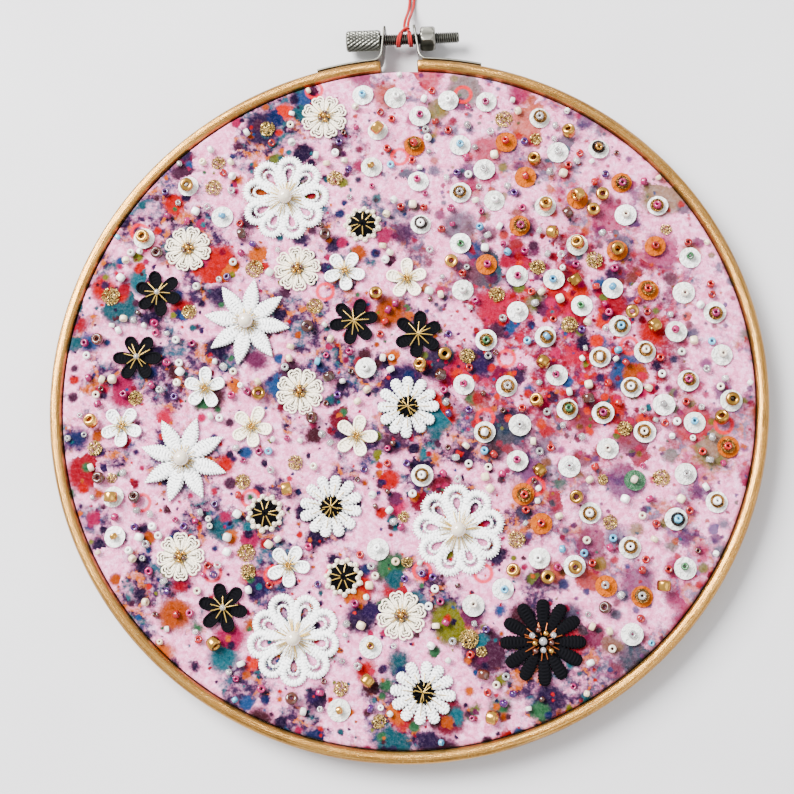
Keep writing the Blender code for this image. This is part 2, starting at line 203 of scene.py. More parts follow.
def make_object(name, shape, material, crease):
    """An object from a shape, with edges sharper than the crease left sharp."""
    mesh = bpy.data.meshes.new(name)
    points = (shape.points + (0, CENTRE_Y, 0)) * MM
    mesh.vertices.add(len(points))
    mesh.vertices.foreach_set("co", points.astype(np.float32).ravel())
    corners = np.concatenate([shape.quads.ravel(), shape.tris.ravel()])
    mesh.loops.add(len(corners))
    mesh.loops.foreach_set("vertex_index", corners.astype(np.int32))
    quad_starts = np.arange(len(shape.quads)) * 4
    tri_starts = len(shape.quads) * 4 + np.arange(len(shape.tris)) * 3
    starts = np.concatenate([quad_starts, tri_starts])
    mesh.polygons.add(len(starts))
    mesh.polygons.foreach_set("loop_start", starts.astype(np.int32))
    mesh.update(calc_edges=True)
    mesh.validate()
    shade = mesh.attributes.new("shade", "FLOAT", "POINT")
    shade.data.foreach_set("value", shape.shade.astype(np.float32))
    if np.any(shape.run):
        run = mesh.attributes.new("run", "FLOAT_VECTOR", "POINT")
        run.data.foreach_set("vector", shape.run.astype(np.float32).ravel())
    mesh.shade_smooth()
    mesh.set_sharp_from_angle(angle=math.radians(crease))
    mesh.materials.append(MATERIALS[material])
    made = bpy.data.objects.new(name, mesh)
    bpy.context.scene.collection.objects.link(made)
    return made


def make_piece(name, shape, material, replaces=(), crease=60):
    """A piece of the scene from a shape, riding on the one body."""
    piece = make_object(name, shape, material, crease)
    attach(piece, "root")
    if replaces:
        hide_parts(*replaces)
    return piece


# Ways to make shapes


def round_angles(steps):
    """Evenly spaced angles once round."""
    return np.arange(steps) * math.tau / steps


def polar(radius, angle, z):
    """Points at a radius and an angle about Z and at a height, each a number or an array."""
    return np.stack(np.broadcast_arrays(radius * np.cos(angle), radius * np.sin(angle), z), -1)


def grid_quads(rows, columns, wrap_rows=False):
    """The quads of a grid of points, stored row after row, whose rows close on themselves."""
    row = np.arange(rows if wrap_rows else rows - 1)[:, None]
    column = np.arange(columns)[None, :]
    next_row = (row + 1) % rows
    next_column = (column + 1) % columns
    corners = [
        row * columns + column,
        row * columns + next_column,
        next_row * columns + next_column,
        next_row * columns + column,
    ]
    return np.stack(corners, -1).reshape(-1, 4)


def end_tris(rows, columns):
    """The triangles that close both ends of a grid of points, to the two points that follow it."""
    near = np.arange(columns)
    after = (near + 1) % columns
    pole = np.full(columns, rows * columns)
    last = (rows - 1) * columns
    return np.vstack([np.stack([pole, after, near], -1), np.stack([pole + 1, last + near, last + after], -1)])


def loft(rings, shade=0.5, run=None, poles=None):
    """A closed form through rings of points, with one point in the middle of each end."""
    rings = np.asarray(rings, float)
    ends = [rings[0].mean(0), rings[-1].mean(0)] if poles is None else poles
    points = np.vstack([rings.reshape(-1, 3), ends])
    if run is not None:
        run = np.vstack([run.reshape(-1, 3), run[0].mean(0), run[-1].mean(0)])
    size = rings.shape[:2]
    return Shape(points, grid_quads(*size), end_tris(*size), shade, run).outward()


def looped(rings, shade=0.5):
    """A closed form through rings of points, the last of which joins the first."""
    rings = np.asarray(rings, float)
    return Shape(rings, grid_quads(*rings.shape[:2], wrap_rows=True), shade=shade).outward()


def spun(profile, steps):
    """The rings of a profile of radius and height that is turned about Z."""
    profile = np.asarray(profile, float)
    return polar(profile[:, :1], round_angles(steps), profile[:, 1:])


def turned(profile, steps):
    """A profile turned about Z and closed at each end by a point on the axis."""
    return loft(spun(profile[1:-1], steps), poles=[(0, 0, profile[0][1]), (0, 0, profile[-1][1])])


def travelled(path):
    """How far along a path each of its points lies."""
    return np.concatenate([[0], np.cumsum(np.linalg.norm(np.diff(path, axis=0), axis=1))])


def frames_along(path, up=(0, 0, 1), closed=False):
    """For each point of a path, the two unit vectors across it."""
    ahead = np.roll(path, -1, 0) - np.roll(path, 1, 0) if closed else np.gradient(path, axis=0)
    ahead /= np.linalg.norm(ahead, axis=1)[:, None]
    side = np.cross(ahead, up)
    side /= np.linalg.norm(side, axis=1)[:, None]
    return side, np.cross(side, ahead)


def tube(path, width, height, sides, ripple=0.0, pitch=0.9, shade=0.5):
    """A cord along a path, as wide and high as given, that swells by the ripple once a pitch."""
    side, rise = frames_along(path)
    swell = 1 + ripple * np.cos(math.tau * travelled(path) / pitch)
    angles = round_angles(sides)
    out = side[:, None] * (np.cos(angles) * width / 2)[:, None]
    out = out + rise[:, None] * (np.sin(angles) * height / 2)[:, None]
    rings = path[:, None] + out * swell[:, None, None]
    # Painted shade and highlight: the cord is darker underneath and lighter on its top and on its swells. Its
    # ends are darker too.
    shade = shade - 0.1 + 0.22 * np.sin(angles)[None] + 1.4 * (swell - 1)[:, None]
    return loft(rings, np.append(shade.ravel(), [0.3, 0.3]))


def plied_tube(path, diameter, up=(0, 0, 1), closed=False):
    """A thread of twisted plies: a tube whose section has a lobe for each ply and turns as it goes."""
    side, rise = frames_along(path, up, closed)
    along = travelled(path)
    turns = along / THREAD_TWIST
    if closed:
        whole = along[-1] * len(path) / (len(path) - 1)
        turns = along / whole * max(1, round(whole / THREAD_TWIST))
    angles = round_angles(THREAD_SIDES)
    lobe = np.abs(np.cos(THREAD_PLIES * (angles - math.tau * turns[:, None]) / 2))
    reach = diameter / 2 * (0.78 + 0.24 * lobe)
    rings = path[:, None] + side[:, None] * (np.cos(angles) * reach)[:, :, None]
    rings = rings + rise[:, None] * (np.sin(angles) * reach)[:, :, None]
    # Painted shade: the gaps between the plies are darker than their crests.
    shade = (0.25 + 0.5 * lobe).ravel()
    return looped(rings, shade) if closed else loft(rings, np.append(shade, [0.5, 0.5]))


def strokes(starts, ends, radius, arch=0.0, sides=5, shade=0.5):
    """Many short threads at once, each from a start to an end and raised by arch in its middle."""
    starts = np.asarray(starts, float)
    ends = np.asarray(ends, float)
    count = len(starts)
    ahead = (ends - starts) / np.linalg.norm(ends - starts, axis=1)[:, None]
    side = np.cross(ahead, (0.02, 0.01, 1))
    side /= np.linalg.norm(side, axis=1)[:, None]
    rise = np.cross(side, ahead)
    angles = round_angles(sides)[:, None]
    out = (side[:, None] * np.cos(angles) + rise[:, None] * np.sin(angles)) * radius
    middles = (starts + ends) / 2 + np.broadcast_to(arch, count)[:, None] * (0, 0, 1)
    rings = [place[:, None] + out * share for place, share in ((starts, 0.75), (middles, 1), (ends, 0.75))]
    points = np.concatenate(rings + [starts[:, None], ends[:, None]], 1)
    shift = np.arange(count)[:, None, None] * points.shape[1]
    quads = (grid_quads(3, sides) + shift).reshape(-1, 4)
    tris = (end_tris(3, sides) + shift).reshape(-1, 3)
    return Shape(points, quads, tris, shade).outward()


def flakes(places, size, shade):
    """Many small four-sided flakes, each turned its own way."""
    count = len(places)
    corners = np.array([(1, 1, 1), (1, -1, -1), (-1, 1, -1), (-1, -1, 1)]) / math.sqrt(3)
    around = field.uniform(0, math.tau, (2, count, 1))
    turned_x = corners[:, 0] * np.cos(around[0]) - corners[:, 1] * np.sin(around[0])
    turned_y = corners[:, 0] * np.sin(around[0]) + corners[:, 1] * np.cos(around[0])
    tipped_y = turned_y * np.cos(around[1]) - corners[:, 2] * np.sin(around[1])
    tipped_z = turned_y * np.sin(around[1]) + corners[:, 2] * np.cos(around[1])
    points = places[:, None] + np.stack([turned_x, tipped_y, tipped_z], -1) * size[:, None, None]
    tris = np.array([(0, 1, 2), (0, 3, 1), (0, 2, 3), (1, 3, 2)])
    tris = (tris[None] + np.arange(count)[:, None, None] * 4).reshape(-1, 3)
    return Shape(points, (), tris, np.repeat(shade, 4)).outward()


def smooth_path(points, step):
    """Points about a step apart on the smooth curve through the given ones."""
    points = np.asarray(points, float)
    ends = np.vstack([2 * points[0] - points[1], points, 2 * points[-1] - points[-2]])
    share = np.arange(20)[:, None] / 20
    fine = []
    for before, start, end, after in zip(ends, ends[1:], ends[2:], ends[3:]):
        bend = 2 * before - 5 * start + 4 * end - after
        twist = 3 * start - before - 3 * end + after
        fine.append((2 * start + (end - before) * share + bend * share**2 + twist * share**3) / 2)
    fine = np.vstack(fine + [points[-1:]])
    lengths = travelled(fine)
    wanted = np.linspace(0, lengths[-1], max(2, round(lengths[-1] / step)) + 1)
    return np.stack([np.interp(wanted, lengths, fine[:, axis]) for axis in range(3)], -1)


def rounded_box(width, height, rounding, corner_steps, lower_rounding=None):
    """The outline of a box with round corners, as pairs about its middle."""
    lower = lower_rounding or rounding
    corners = ((1, 1, rounding), (-1, 1, rounding), (-1, -1, lower), (1, -1, lower))
    outline = []
    for corner, (way_x, way_y, radius) in enumerate(corners):
        middle = np.array([way_x * (width / 2 - radius), way_y * (height / 2 - radius)])
        angles = math.radians(90) * (corner + np.arange(corner_steps + 1) / corner_steps)
        outline.append(middle + radius * np.stack([np.cos(angles), np.sin(angles)], -1))
    return np.vstack(outline)


def ripples(x, y, size, seed):
    """A smooth field of about -1 to 1 over the face, its waves about a size long."""
    waves = np.random.default_rng(seed)
    total = np.zeros(np.broadcast(x, y).shape)
    for _ in range(18):
        angle = waves.uniform(0, math.tau)
        rate = math.tau / size * waves.uniform(0.6, 1.5)
        phase = waves.uniform(0, math.tau)
        total = total + np.cos(rate * (x * math.cos(angle) + y * math.sin(angle)) + phase)
    return total / 4.2


# Materials

MATERIALS = {}


def plain(code):
    """A web code in linear red, green and blue, as a metal's colour is given."""
    parts = np.array([int(code[i : i + 2], 16) / 255 for i in (1, 3, 5)])
    return (*np.where(parts <= 0.04045, parts / 12.92, ((parts + 0.055) / 1.055) ** 2.4), 1.0)


def seen_as(code):
    """A base colour, in linear red, green and blue, that looks like a web code in the bright room."""
    parts = np.array(plain(code)[:3])
    level = parts @ (0.21, 0.72, 0.07)
    parts = np.clip(level + (parts - level) * SPREAD_BEFORE, 0, 1)
    share, growth, power = DEEPENING
    parts = parts * (share + growth * parts**power)
    level = parts @ (0.3, 0.5, 0.2)
    return (*np.clip(level + (parts - level) * SPREAD_AFTER, 0, 1), 1.0)


class Paint:
    """A named material with a Principled shader, and short calls that add nodes to it."""

    def __init__(self, name, colour="#FFFFFF", **values):
        material = bpy.data.materials.new(name)
        material.use_nodes = True
        MATERIALS[name] = material
        self.tree = material.node_tree
        self.shader = self.tree.nodes["Principled BSDF"]
        self.tone = plain if values.get("Metallic", 0) > 0.5 else seen_as
        self.shader.inputs["Base Color"].default_value = self.tone(colour)
        for title, value in values.items():
            self.shader.inputs[title.replace("_", " ")].default_value = value

    def add(self, kind, inputs=(), **settings):
        """A node of a kind, its inputs given as numbers, colours or other nodes' outputs."""
        node = self.tree.nodes.new(kind)
        for name, value in settings.items():
            setattr(node, name, value)
        for name, value in dict(inputs).items():
            self.feed(node.inputs[name], value)
        return node

    def feed(self, socket, value):
        """Sets a socket, or joins an output to it."""
        if isinstance(value, bpy.types.NodeSocket):
            self.tree.links.new(value, socket)
        else:
            socket.default_value = value

    def places(self):
        """Positions in millimetres about the hoop's centre."""
        where = self.add("ShaderNodeTexCoord").outputs["Object"]
        node = self.add("ShaderNodeMapping", {"Vector": where})
        node.inputs["Location"].default_value = (0, -CENTRE_Y, 0)
        node.inputs["Scale"].default_value = (1 / MM, 1 / MM, 1 / MM)
        return node.outputs["Vector"]

    def attribute(self, name, output="Fac"):
        """A value that a piece's points carry."""
        return self.add("ShaderNodeAttribute", attribute_name=name).outputs[output]

    def noise(self, where, size, detail=2.0, roughness=0.5, output="Fac"):
        """Noise whose features are about a size across, in the units of where."""
        inputs = {"Vector": where, "Scale": 1 / size, "Detail": detail, "Roughness": roughness}
        return self.add("ShaderNodeTexNoise", inputs).outputs[output]

    def math(self, operation, first, second=0.0, third=0.0):
        """One sum."""
        node = self.add("ShaderNodeMath", operation=operation)
        for socket, value in zip(node.inputs, (first, second, third)):
            self.feed(socket, value)
        return node.outputs[0]

    def soaked(self, mask):
        """A share of dye raised so that a part of it already looks deep."""
        return self.math("SUBTRACT", 1.0, self.math("POWER", self.math("SUBTRACT", 1.0, mask), 2.2))

    def vector(self, operation, first, second):
        """One sum of vectors."""
        node = self.add("ShaderNodeVectorMath", operation=operation)
        self.feed(node.inputs[0], first)
        self.feed(node.inputs[1], second)
        return node.outputs["Vector"]

    def strayed(self, noise, reach):
        """A noise's colour as a vector of up to half the reach each way."""
        return self.vector("MULTIPLY", self.vector("SUBTRACT", noise, (0.5, 0.5, 0.5)), (reach, reach, reach))

    def span(self, value, low, high, start=0.0, end=1.0, kind="SMOOTHSTEP"):
        """A value between low and high, brought to between start and end."""
        inputs = {"Value": value, "From Min": low, "From Max": high, "To Min": start, "To Max": end}
        return self.add("ShaderNodeMapRange", inputs, interpolation_type=kind).outputs["Result"]

    def mix(self, share, first, second, blend="MIX"):
        """Two colours mixed."""
        node = self.add("ShaderNodeMix", data_type="RGBA", blend_type=blend)
        for index, value in ((0, share), (6, first), (7, second)):
            self.feed(node.inputs[index], value)
        return node.outputs[2]

    def ramp(self, value, colours, steps=False):
        """Colours picked along a value from 0 to 1, blended or in equal steps."""
        node = self.add("ShaderNodeValToRGB", {"Fac": value})
        node.color_ramp.interpolation = "CONSTANT" if steps else "LINEAR"
        stops = node.color_ramp.elements
        span = len(colours) if steps else len(colours) - 1
        while len(stops) < len(colours):
            stops.new(0.5)
        for index, colour in enumerate(colours):
            stops[index].position = index / span
            stops[index].color = self.tone(colour)
        return node.outputs["Color"]

    def colour(self, value):
        """The shader's base colour."""
        self.feed(self.shader.inputs["Base Color"], value)

    def depth(self, texture, own_share, texture_share):
        """How light a point is, from its own shade and a texture."""
        texture = self.math("MULTIPLY", texture, texture_share)
        return self.math("MULTIPLY_ADD", self.attribute("shade"), own_share, texture)

    def bump(self, height, strength, distance):
        """Fine relief, distance in millimetres."""
        inputs = {"Height": height, "Strength": strength, "Distance": distance * MM}
        self.feed(self.shader.inputs["Normal"], self.add("ShaderNodeBump", inputs).outputs["Normal"])


# Dyes of the drops and of the broad washes, on the flowers' side, in the warm part and past it
COOL_DYES = [
    "#32204E", "#46306E", "#2C4080", "#4678B4", "#3C98A6", "#4E9664", "#A8A846", "#DCA046",
    "#6A3440", "#32204E", "#D25A8C", "#DC5A46", "#463260", "#36808E", "#D28440", "#6E3A5A",
]
WARM_DYES = [
    "#D0305A", "#D84866", "#E070A0", "#B42248", "#E0503F", "#B03A66", "#D84E78", "#A04A7C",
    "#D03A4E", "#5E3868", "#E06688", "#E67E4C", "#CC3656", "#4678B4", "#AC384E", "#96A04E",
]
CALM_DYES = [
    "#3C98A6", "#D84A44", "#4678B4", "#D25A8C", "#4E9664", "#DCA046", "#5C4488", "#D26EA0",
    "#36808E", "#DC5A46", "#8C4680", "#D28440", "#4A90A8", "#C42858", "#A8A846", "#6A4A8C",
]
COOL_WASHES = ["#463268", "#385C98", "#3C8C9A", "#3C2A58", "#DCA850", "#5A3C6E", "#463268", "#4A90A8"]
WARM_WASHES = ["#CE4868", "#BA3C6A", "#D65E7A", "#DE6250", "#C23C60", "#8C5288", "#DA749E", "#B2385E"]
CALM_WASHES = ["#4A98AC", "#D8687C", "#6E5C9C", "#D878A0", "#D8A04C", "#4A90A8", "#C8605C", "#8C5A8E"]
# The middle of the part where the warm dyes lie close, and how far out they thin
WARM_MIDDLE = (46, 14, 0)
WARM_REACH = 34
# Cell size, share of the cells with a drop, smallest and largest drop, softness of its edge, strength,
# and how crowded the drops are away from the warm part and in it
DYE_LAYERS = [
    (12.5, 0.54, 2.4, 6.2, 3.4, 0.94, 1.0, 1.2),
    (7.6, 0.46, 1.4, 3.4, 2.0, 0.94, 0.9, 1.2),
    (4.6, 0.38, 0.8, 1.8, 1.2, 0.94, 0.65, 1.2),
    (2.8, 0.30, 0.4, 1.05, 0.75, 0.92, 0.5, 1.2),
    (1.9, 0.18, 0.25, 0.55, 0.5, 0.88, 0.45, 1.1),
]


def felt_material():
    """Pale pink felt with washes and splashes of dye, each layer of drops smaller than the last."""
    paint = Paint("felt", Roughness=0.95, Specular_IOR_Level=0.03)
    flat = paint.vector("MULTIPLY", paint.places(), (1, 1, 0))
    wander = paint.strayed(paint.noise(flat, 5.0, 3.0, 0.6, "Color"), 3.4)
    fray = paint.strayed(paint.noise(flat, 0.75, 3.0, 0.7, "Color"), 1.3)
    frayed = paint.vector("ADD", flat, fray)
    warped = paint.vector("ADD", paint.vector("ADD", frayed, fray), wander)

    off = paint.vector("SUBTRACT", flat, WARM_MIDDLE)
    away = paint.add("ShaderNodeVectorMath", {"Vector": off}, operation="LENGTH").outputs["Value"]
    away = paint.math("MULTIPLY_ADD", paint.noise(flat, 30.0, 3.0), 50.0, away)
    warm = paint.span(away, WARM_REACH + 38, WARM_REACH + 12)
    axes = paint.add("ShaderNodeSeparateXYZ", {"Vector": flat})
    lean = paint.math("MULTIPLY_ADD", axes.outputs["Y"], FLOWER_FIELD_LEAN, axes.outputs["X"])
    calm = paint.span(lean, FLOWER_FIELD_X - 10, FLOWER_FIELD_X + 30)
    calm = paint.math("MULTIPLY", calm, paint.math("SUBTRACT", 1.0, warm))
    warm_share = paint.math("MULTIPLY_ADD", warm, 0.75, paint.math("MULTIPLY_ADD", calm, 0.25, 0.1))
    thinned = paint.math("MULTIPLY_ADD", calm, -0.16, 1.0)

    woolly = paint.math("MULTIPLY", paint.span(paint.noise(frayed, 1.8, 3.0, 0.7), 0.34, 0.66), 0.6)
    woolly = paint.math("MULTIPLY_ADD", paint.noise(flat, 14.0, 3.0), 0.4, woolly)
    colour = paint.ramp(woolly, ["#E9C6D6", "#F0D8E4", "#F5E9F0"])
    cluster = paint.span(paint.noise(flat, 30.0, 2.0), 0.36, 0.64, -0.06, 0.09)
    cluster = paint.math("MULTIPLY_ADD", warm, 0.06, cluster)
    cluster = paint.math("MULTIPLY_ADD", calm, -0.05, cluster)
    amount = paint.math("ADD", paint.noise(warped, 14.0, 4.0, 0.62), cluster)
    wash = paint.span(amount, 0.49, 0.6)
    tint = paint.span(paint.noise(paint.vector("ADD", warped, (91, 37, 0)), 17.0, 2.0), 0.3, 0.7)
    washes = (COOL_WASHES, WARM_WASHES, CALM_WASHES)
    cool, warmth, beyond = (paint.ramp(tint, colours, True) for colours in washes)
    wash_colour = paint.mix(calm, paint.mix(paint.span(warm_share, 0.3, 0.6), cool, warmth), beyond)
    patchy = paint.span(paint.noise(flat, 2.2, 3.0, 0.65), 0.32, 0.62, 0.25, 0.9)
    wash = paint.math("MULTIPLY", paint.soaked(paint.math("MULTIPLY", wash, patchy)), thinned)
    colour = paint.mix(wash, colour, wash_colour)

    for number, layer in enumerate(DYE_LAYERS):
        cell, share, smallest, largest, edge, strength, crowd_away, crowd_in = layer
        soaking = warped if number < 2 else frayed
        shifted = paint.vector("ADD", soaking, (37.0 * number + 11, 53.0 * number + 5, 0))
        drops = paint.add(
            "ShaderNodeTexVoronoi", {"Vector": shifted, "Scale": 1 / cell}, voronoi_dimensions="2D"
        )
        chance = paint.add("ShaderNodeSeparateColor", {"Color": drops.outputs["Color"]})
        luck, own, big = (chance.outputs[i] for i in range(3))
        centre = drops.outputs["Position"]
        crowd = paint.span(paint.noise(centre, 24.0, 2.0), 0.36, 0.64, 0.3, 1.6)
        crowd = paint.math("MULTIPLY", crowd, paint.span(warm, 0, 1, crowd_away, crowd_in))
        enough = paint.math("SUBTRACT", 1.0, paint.math("MULTIPLY", crowd, share))
        family = paint.span(paint.noise(paint.vector("ADD", centre, (61, 17, 0)), 20.0, 2.0), 0.3, 0.7)
        picked = paint.math("FRACT", paint.math("MULTIPLY_ADD", own, 0.45, family))
        radius = paint.span(paint.math("POWER", big, 1.6), 0, 1, smallest, largest, "LINEAR")
        inside = paint.math("SUBTRACT", radius, paint.math("MULTIPLY", drops.outputs["Distance"], cell))
        mask = paint.span(inside, -edge / 2, edge / 2, 0, strength)
        mask = paint.math("MULTIPLY", mask, paint.math("GREATER_THAN", luck, enough))
        other_luck = paint.math("FRACT", paint.math("MULTIPLY", own, 7.3))
        warmer = paint.math("LESS_THAN", other_luck, warm_share)
        cool, warmth, beyond = (paint.ramp(picked, dyes, True) for dyes in (COOL_DYES, WARM_DYES, CALM_DYES))
        dye = paint.mix(calm, paint.mix(warmer, cool, warmth), beyond)
        colour = paint.mix(paint.math("MULTIPLY", paint.soaked(mask), thinned), colour, dye)

    rings = paint.add(
        "ShaderNodeTexVoronoi",
        {"Vector": paint.vector("ADD", flat, (7, 3, 0)), "Scale": 1 / 20, "Randomness": 0.8},
        voronoi_dimensions="2D",
    )
    away = paint.math("ABSOLUTE", paint.math("MULTIPLY_ADD", rings.outputs["Distance"], 20.0, -2.3))
    rare = paint.add("ShaderNodeSeparateColor", {"Color": rings.outputs["Color"]}).outputs[1]
    ring = paint.math("MULTIPLY", paint.span(away, 0.8, 0.2), paint.math("GREATER_THAN", rare, 0.72))
    colour = paint.mix(paint.math("MULTIPLY", ring, 0.85), colour, seen_as("#F5789F"))

    hairs = paint.noise(paint.vector("ADD", frayed, fray), 0.8, 3.0, 0.7)
    colour = paint.mix(paint.span(hairs, 0.46, 0.74, 0.0, 0.05), colour, seen_as("#EBE0E7"))
    colour = paint.mix(paint.span(hairs, 0.52, 0.3, 0.0, 0.55), colour, seen_as("#E2C5D6"), "MULTIPLY")
    paint.colour(colour)
    paint.bump(hairs, 0.8, 0.8)


def gold_paint_material():
    """Antique gold paint, brushed along the rim over wood that shows where it has worn."""
    paint = Paint("gold_paint", Metallic=0.9, Roughness=0.34)
    run = paint.attribute("run", "Vector")
    streaky = paint.vector("MULTIPLY", run, (0.035, 3.2, 0))
    streaks = paint.span(paint.noise(streaky, 1.0, 4.0, 0.65), 0.28, 0.72, kind="LINEAR")
    patches = paint.noise(paint.vector("MULTIPLY", run, (0.09, 0.5, 0)), 1.0, 3.0)
    colour = paint.ramp(streaks, ["#4E300C", "#7E5420", "#A07030", "#BA8C46", "#DDB870"])
    wear_and_painted_reflection = paint.span(patches, 0.54, 0.72, 0, 0.5)
    colour = paint.mix(wear_and_painted_reflection, colour, plain("#4A2E10"))
    grain = paint.noise(paint.places(), 0.3, 2.0, 0.6)
    colour = paint.mix(paint.span(grain, 0.56, 0.72, 0, 0.5), colour, plain("#F0D694"))
    colour = paint.mix(paint.span(grain, 0.42, 0.28, 0, 0.4), colour, plain("#4E3210"))
    paint.colour(colour)
    paint.feed(paint.shader.inputs["Roughness"], paint.span(streaks, 0.1, 0.9, 0.32, 0.18))
    paint.bump(streaks, 0.5, 0.12)


def bare_wood_material():
    """Pale sanded wood whose grain runs along the ring."""
    paint = Paint("bare_wood", Roughness=0.62)
    run = paint.attribute("run", "Vector")
    grain = paint.noise(paint.vector("MULTIPLY", run, (0.025, 1.9, 0)), 1.0, 5.0, 0.62)
    pores = paint.noise(paint.vector("MULTIPLY", run, (0.25, 6.0, 0)), 1.0, 2.0)
    colour = paint.ramp(grain, ["#C38F60", "#D9AE8F", "#E1C0A5", "#E5CDB7"])
    colour = paint.mix(paint.span(pores, 0.6, 0.75, 0, 0.5), colour, seen_as("#A77641"))
    paint.colour(colour)
    paint.bump(grain, 0.4, 0.15)


def steel_material(name, dark, light, roughness):
    """Nickel-plated steel with fine scratches and duller patches, and painted shade and painted dark
    reflections where a piece's points carry a low shade.
    """
    paint = Paint(name, Metallic=1.0, Roughness=roughness)
    where = paint.places()
    patches = paint.noise(where, 2.4, 3.0)
    scratches = paint.noise(paint.vector("MULTIPLY", where, (1, 9, 9)), 1.6, 3.0, 0.7)
    colour = paint.mix(patches, plain(dark), plain(light))
    # Painted shade and painted dark reflection: where a piece's points carry a low shade, the colour goes
    # towards near-black #161512.
    painted_shade_and_reflection = paint.span(paint.attribute("shade"), 0.5, 0.05, 0.0, 0.9)
    paint.colour(paint.mix(painted_shade_and_reflection, colour, plain("#161512")))
    rough = paint.math("MULTIPLY_ADD", scratches, 0.22, roughness - 0.1)
    paint.feed(paint.shader.inputs["Roughness"], rough)
    paint.bump(scratches, 0.25, 0.05)


def thread_material(
    name, dark, light, roughness=0.72, metallic=0.0, sheen=0.2, size=0.18, gloss=0.15, rough=0.3
):
    """Sewing thread or lace: fine strands that catch the light, with painted shade between them and where a
    piece's points carry a low shade, as on undersides and hollows.
    """
    paint = Paint(name, Roughness=roughness, Metallic=metallic, Sheen_Weight=sheen)
    paint.shader.inputs["Specular IOR Level"].default_value = 0.5 if metallic else gloss
    strands = paint.noise(paint.places(), size, 2.0, 0.6)
    # Painted shade and highlight: darker between the strands and where the points' shade is low, lighter on
    # the strands' crests.
    share = paint.span(paint.depth(strands, 0.7, rough), rough / 2, 0.6 + rough / 2)
    paint.colour(paint.mix(share, paint.tone(dark), paint.tone(light)))
    paint.bump(strands, 0.4 + rough / 3, 0.1 + rough / 4)


def bead_material(name, dark, light, roughness=0.16, metallic=0.0, coat=0.6, glass=0.0, sheen=None):
    """Glass, plated or pearly beads, each a little lighter or darker than the next."""
    paint = Paint(name, Roughness=roughness, Metallic=metallic, Coat_Weight=coat, Coat_Roughness=0.06,
                  Transmission_Weight=glass, IOR=1.5)
    cloudy = paint.noise(paint.places(), 0.9, 2.0)
    colour = paint.mix(paint.depth(cloudy, 0.75, 0.25), paint.tone(dark), paint.tone(light))
    if sheen:
        facing = paint.add("ShaderNodeLayerWeight", {"Blend": 0.35}).outputs["Facing"]
        colour = paint.mix(paint.span(facing, 0.25, 0.95, 0, 0.8), colour, seen_as(sheen))
    paint.colour(colour)
    paint.bump(cloudy, 0.15, 0.06)


def sequin_material(name, dark, light, metallic=0.0, roughness=0.34, lustre=0.5):
    """A thin sequin with a soft lustre and faint crinkles."""
    paint = Paint(name, Roughness=roughness, Metallic=metallic, Coat_Weight=lustre / 2, Coat_Roughness=0.2,
                  Specular_IOR_Level=lustre)
    crinkle = paint.span(paint.noise(paint.places(), 1.1, 3.0, 0.6), 0.3, 0.7)
    # Painted shade: the crinkles' low parts are darker. Each sequin's own shade gives it a random tone.
    paint.colour(paint.mix(paint.depth(crinkle, 0.6, 0.4), paint.tone(dark), paint.tone(light)))
    paint.bump(crinkle, 1.0, 0.5)


felt_material()
gold_paint_material()
bare_wood_material()
steel_material("steel", "#61605A", "#99978C", 0.32)
steel_material("screw_steel", "#595853", "#88887F", 0.32)
# For threads and lace the first colour goes where painted shade falls, the second where the strands are lit.
thread_material("coral_thread", "#A82218", "#E8483C")
thread_material("white_lace", "#666A74", "#F2F2F3", size=0.55, rough=0.9)
thread_material("cream_lace", "#8C806C", "#F2EFEA", size=0.55, rough=0.8)
thread_material("white_thread", "#DCD9DA", "#EEECEC")
thread_material("black_lace", "#060608", "#202026", 0.75, sheen=0.0, gloss=0.03)
thread_material("black_thread", "#060608", "#222228", 0.75, sheen=0.0, gloss=0.03)
thread_material("gold_thread", "#523A02", "#D4AE54", 0.34, 0.55, 0.0)
thread_material("copper_thread", "#451D02", "#AA5620", 0.34, 0.6, 0.0)
thread_material("glitter", "#4A360C", "#DCBC70", 0.26, 0.7, 0.0, 0.3)
bead_material("gold_bead", "#7A5412", "#DCA850", 0.22, 1.0, 0.2)
bead_material("coral_bead", "#C03A1C", "#E45A38", coat=0.25)
bead_material("pink_bead", "#BC3E88", "#E06EB0", coat=0.3)
bead_material("purple_bead", "#5C1C88", "#9A3CBC", 0.14, 0.3, 0.9, sheen="#CC66C8")
bead_material("garnet_bead", "#4D2519", "#AD4F22", 0.1, glass=0.12)
bead_material("aqua_bead", "#7AB8D2", "#C0DFE8")
bead_material("green_bead", "#2D8749", "#6CBA80")
bead_material("white_bead", "#DCDAD6", "#F2F2F2", 0.3)
bead_material("cream_bead", "#E0D6C9", "#ECE8E1", 0.34)
bead_material("clear_bead", "#D1CECE", "#F0F0F0", 0.06, coat=1.0, glass=0.7)
bead_material("pearl", "#DDD7CE", "#EDEBE7", 0.14, coat=1.0, sheen="#E9D4DC")
# For sequins and cups the first colour goes where painted shade falls in the crinkles and on darker copies,
# the second on the lit parts.
sequin_material("bronze_cup", "#38270B", "#9F6D32", 0.85, 0.28)
sequin_material("dark_cup", "#2C2520", "#573428", 0.3, 0.25)
sequin_material("white_sequin", "#E2E1DD", "#F8F8F6")
sequin_material("orange_sequin", "#D89C64", "#E0B078", 0.0, 0.5, 0.06)
sequin_material("green_sequin", "#298253", "#63B27A")


# What is sewn on goes into a heap for each material, and each heap becomes one piece
heaps = defaultdict(list)
sewn = []


# Camera: above the face at the photograph's angle, its long lens aimed a little past the middle
LENS = 70
CAMERA_WAY = Vector((0.0502, -0.2166, 0.9750)).normalized()
CAMERA_DISTANCE = 0.434
CAMERA_ROLL = math.radians(-0.93)
AIM_SHIFT = Vector((-0.0021, -0.0009, 0))


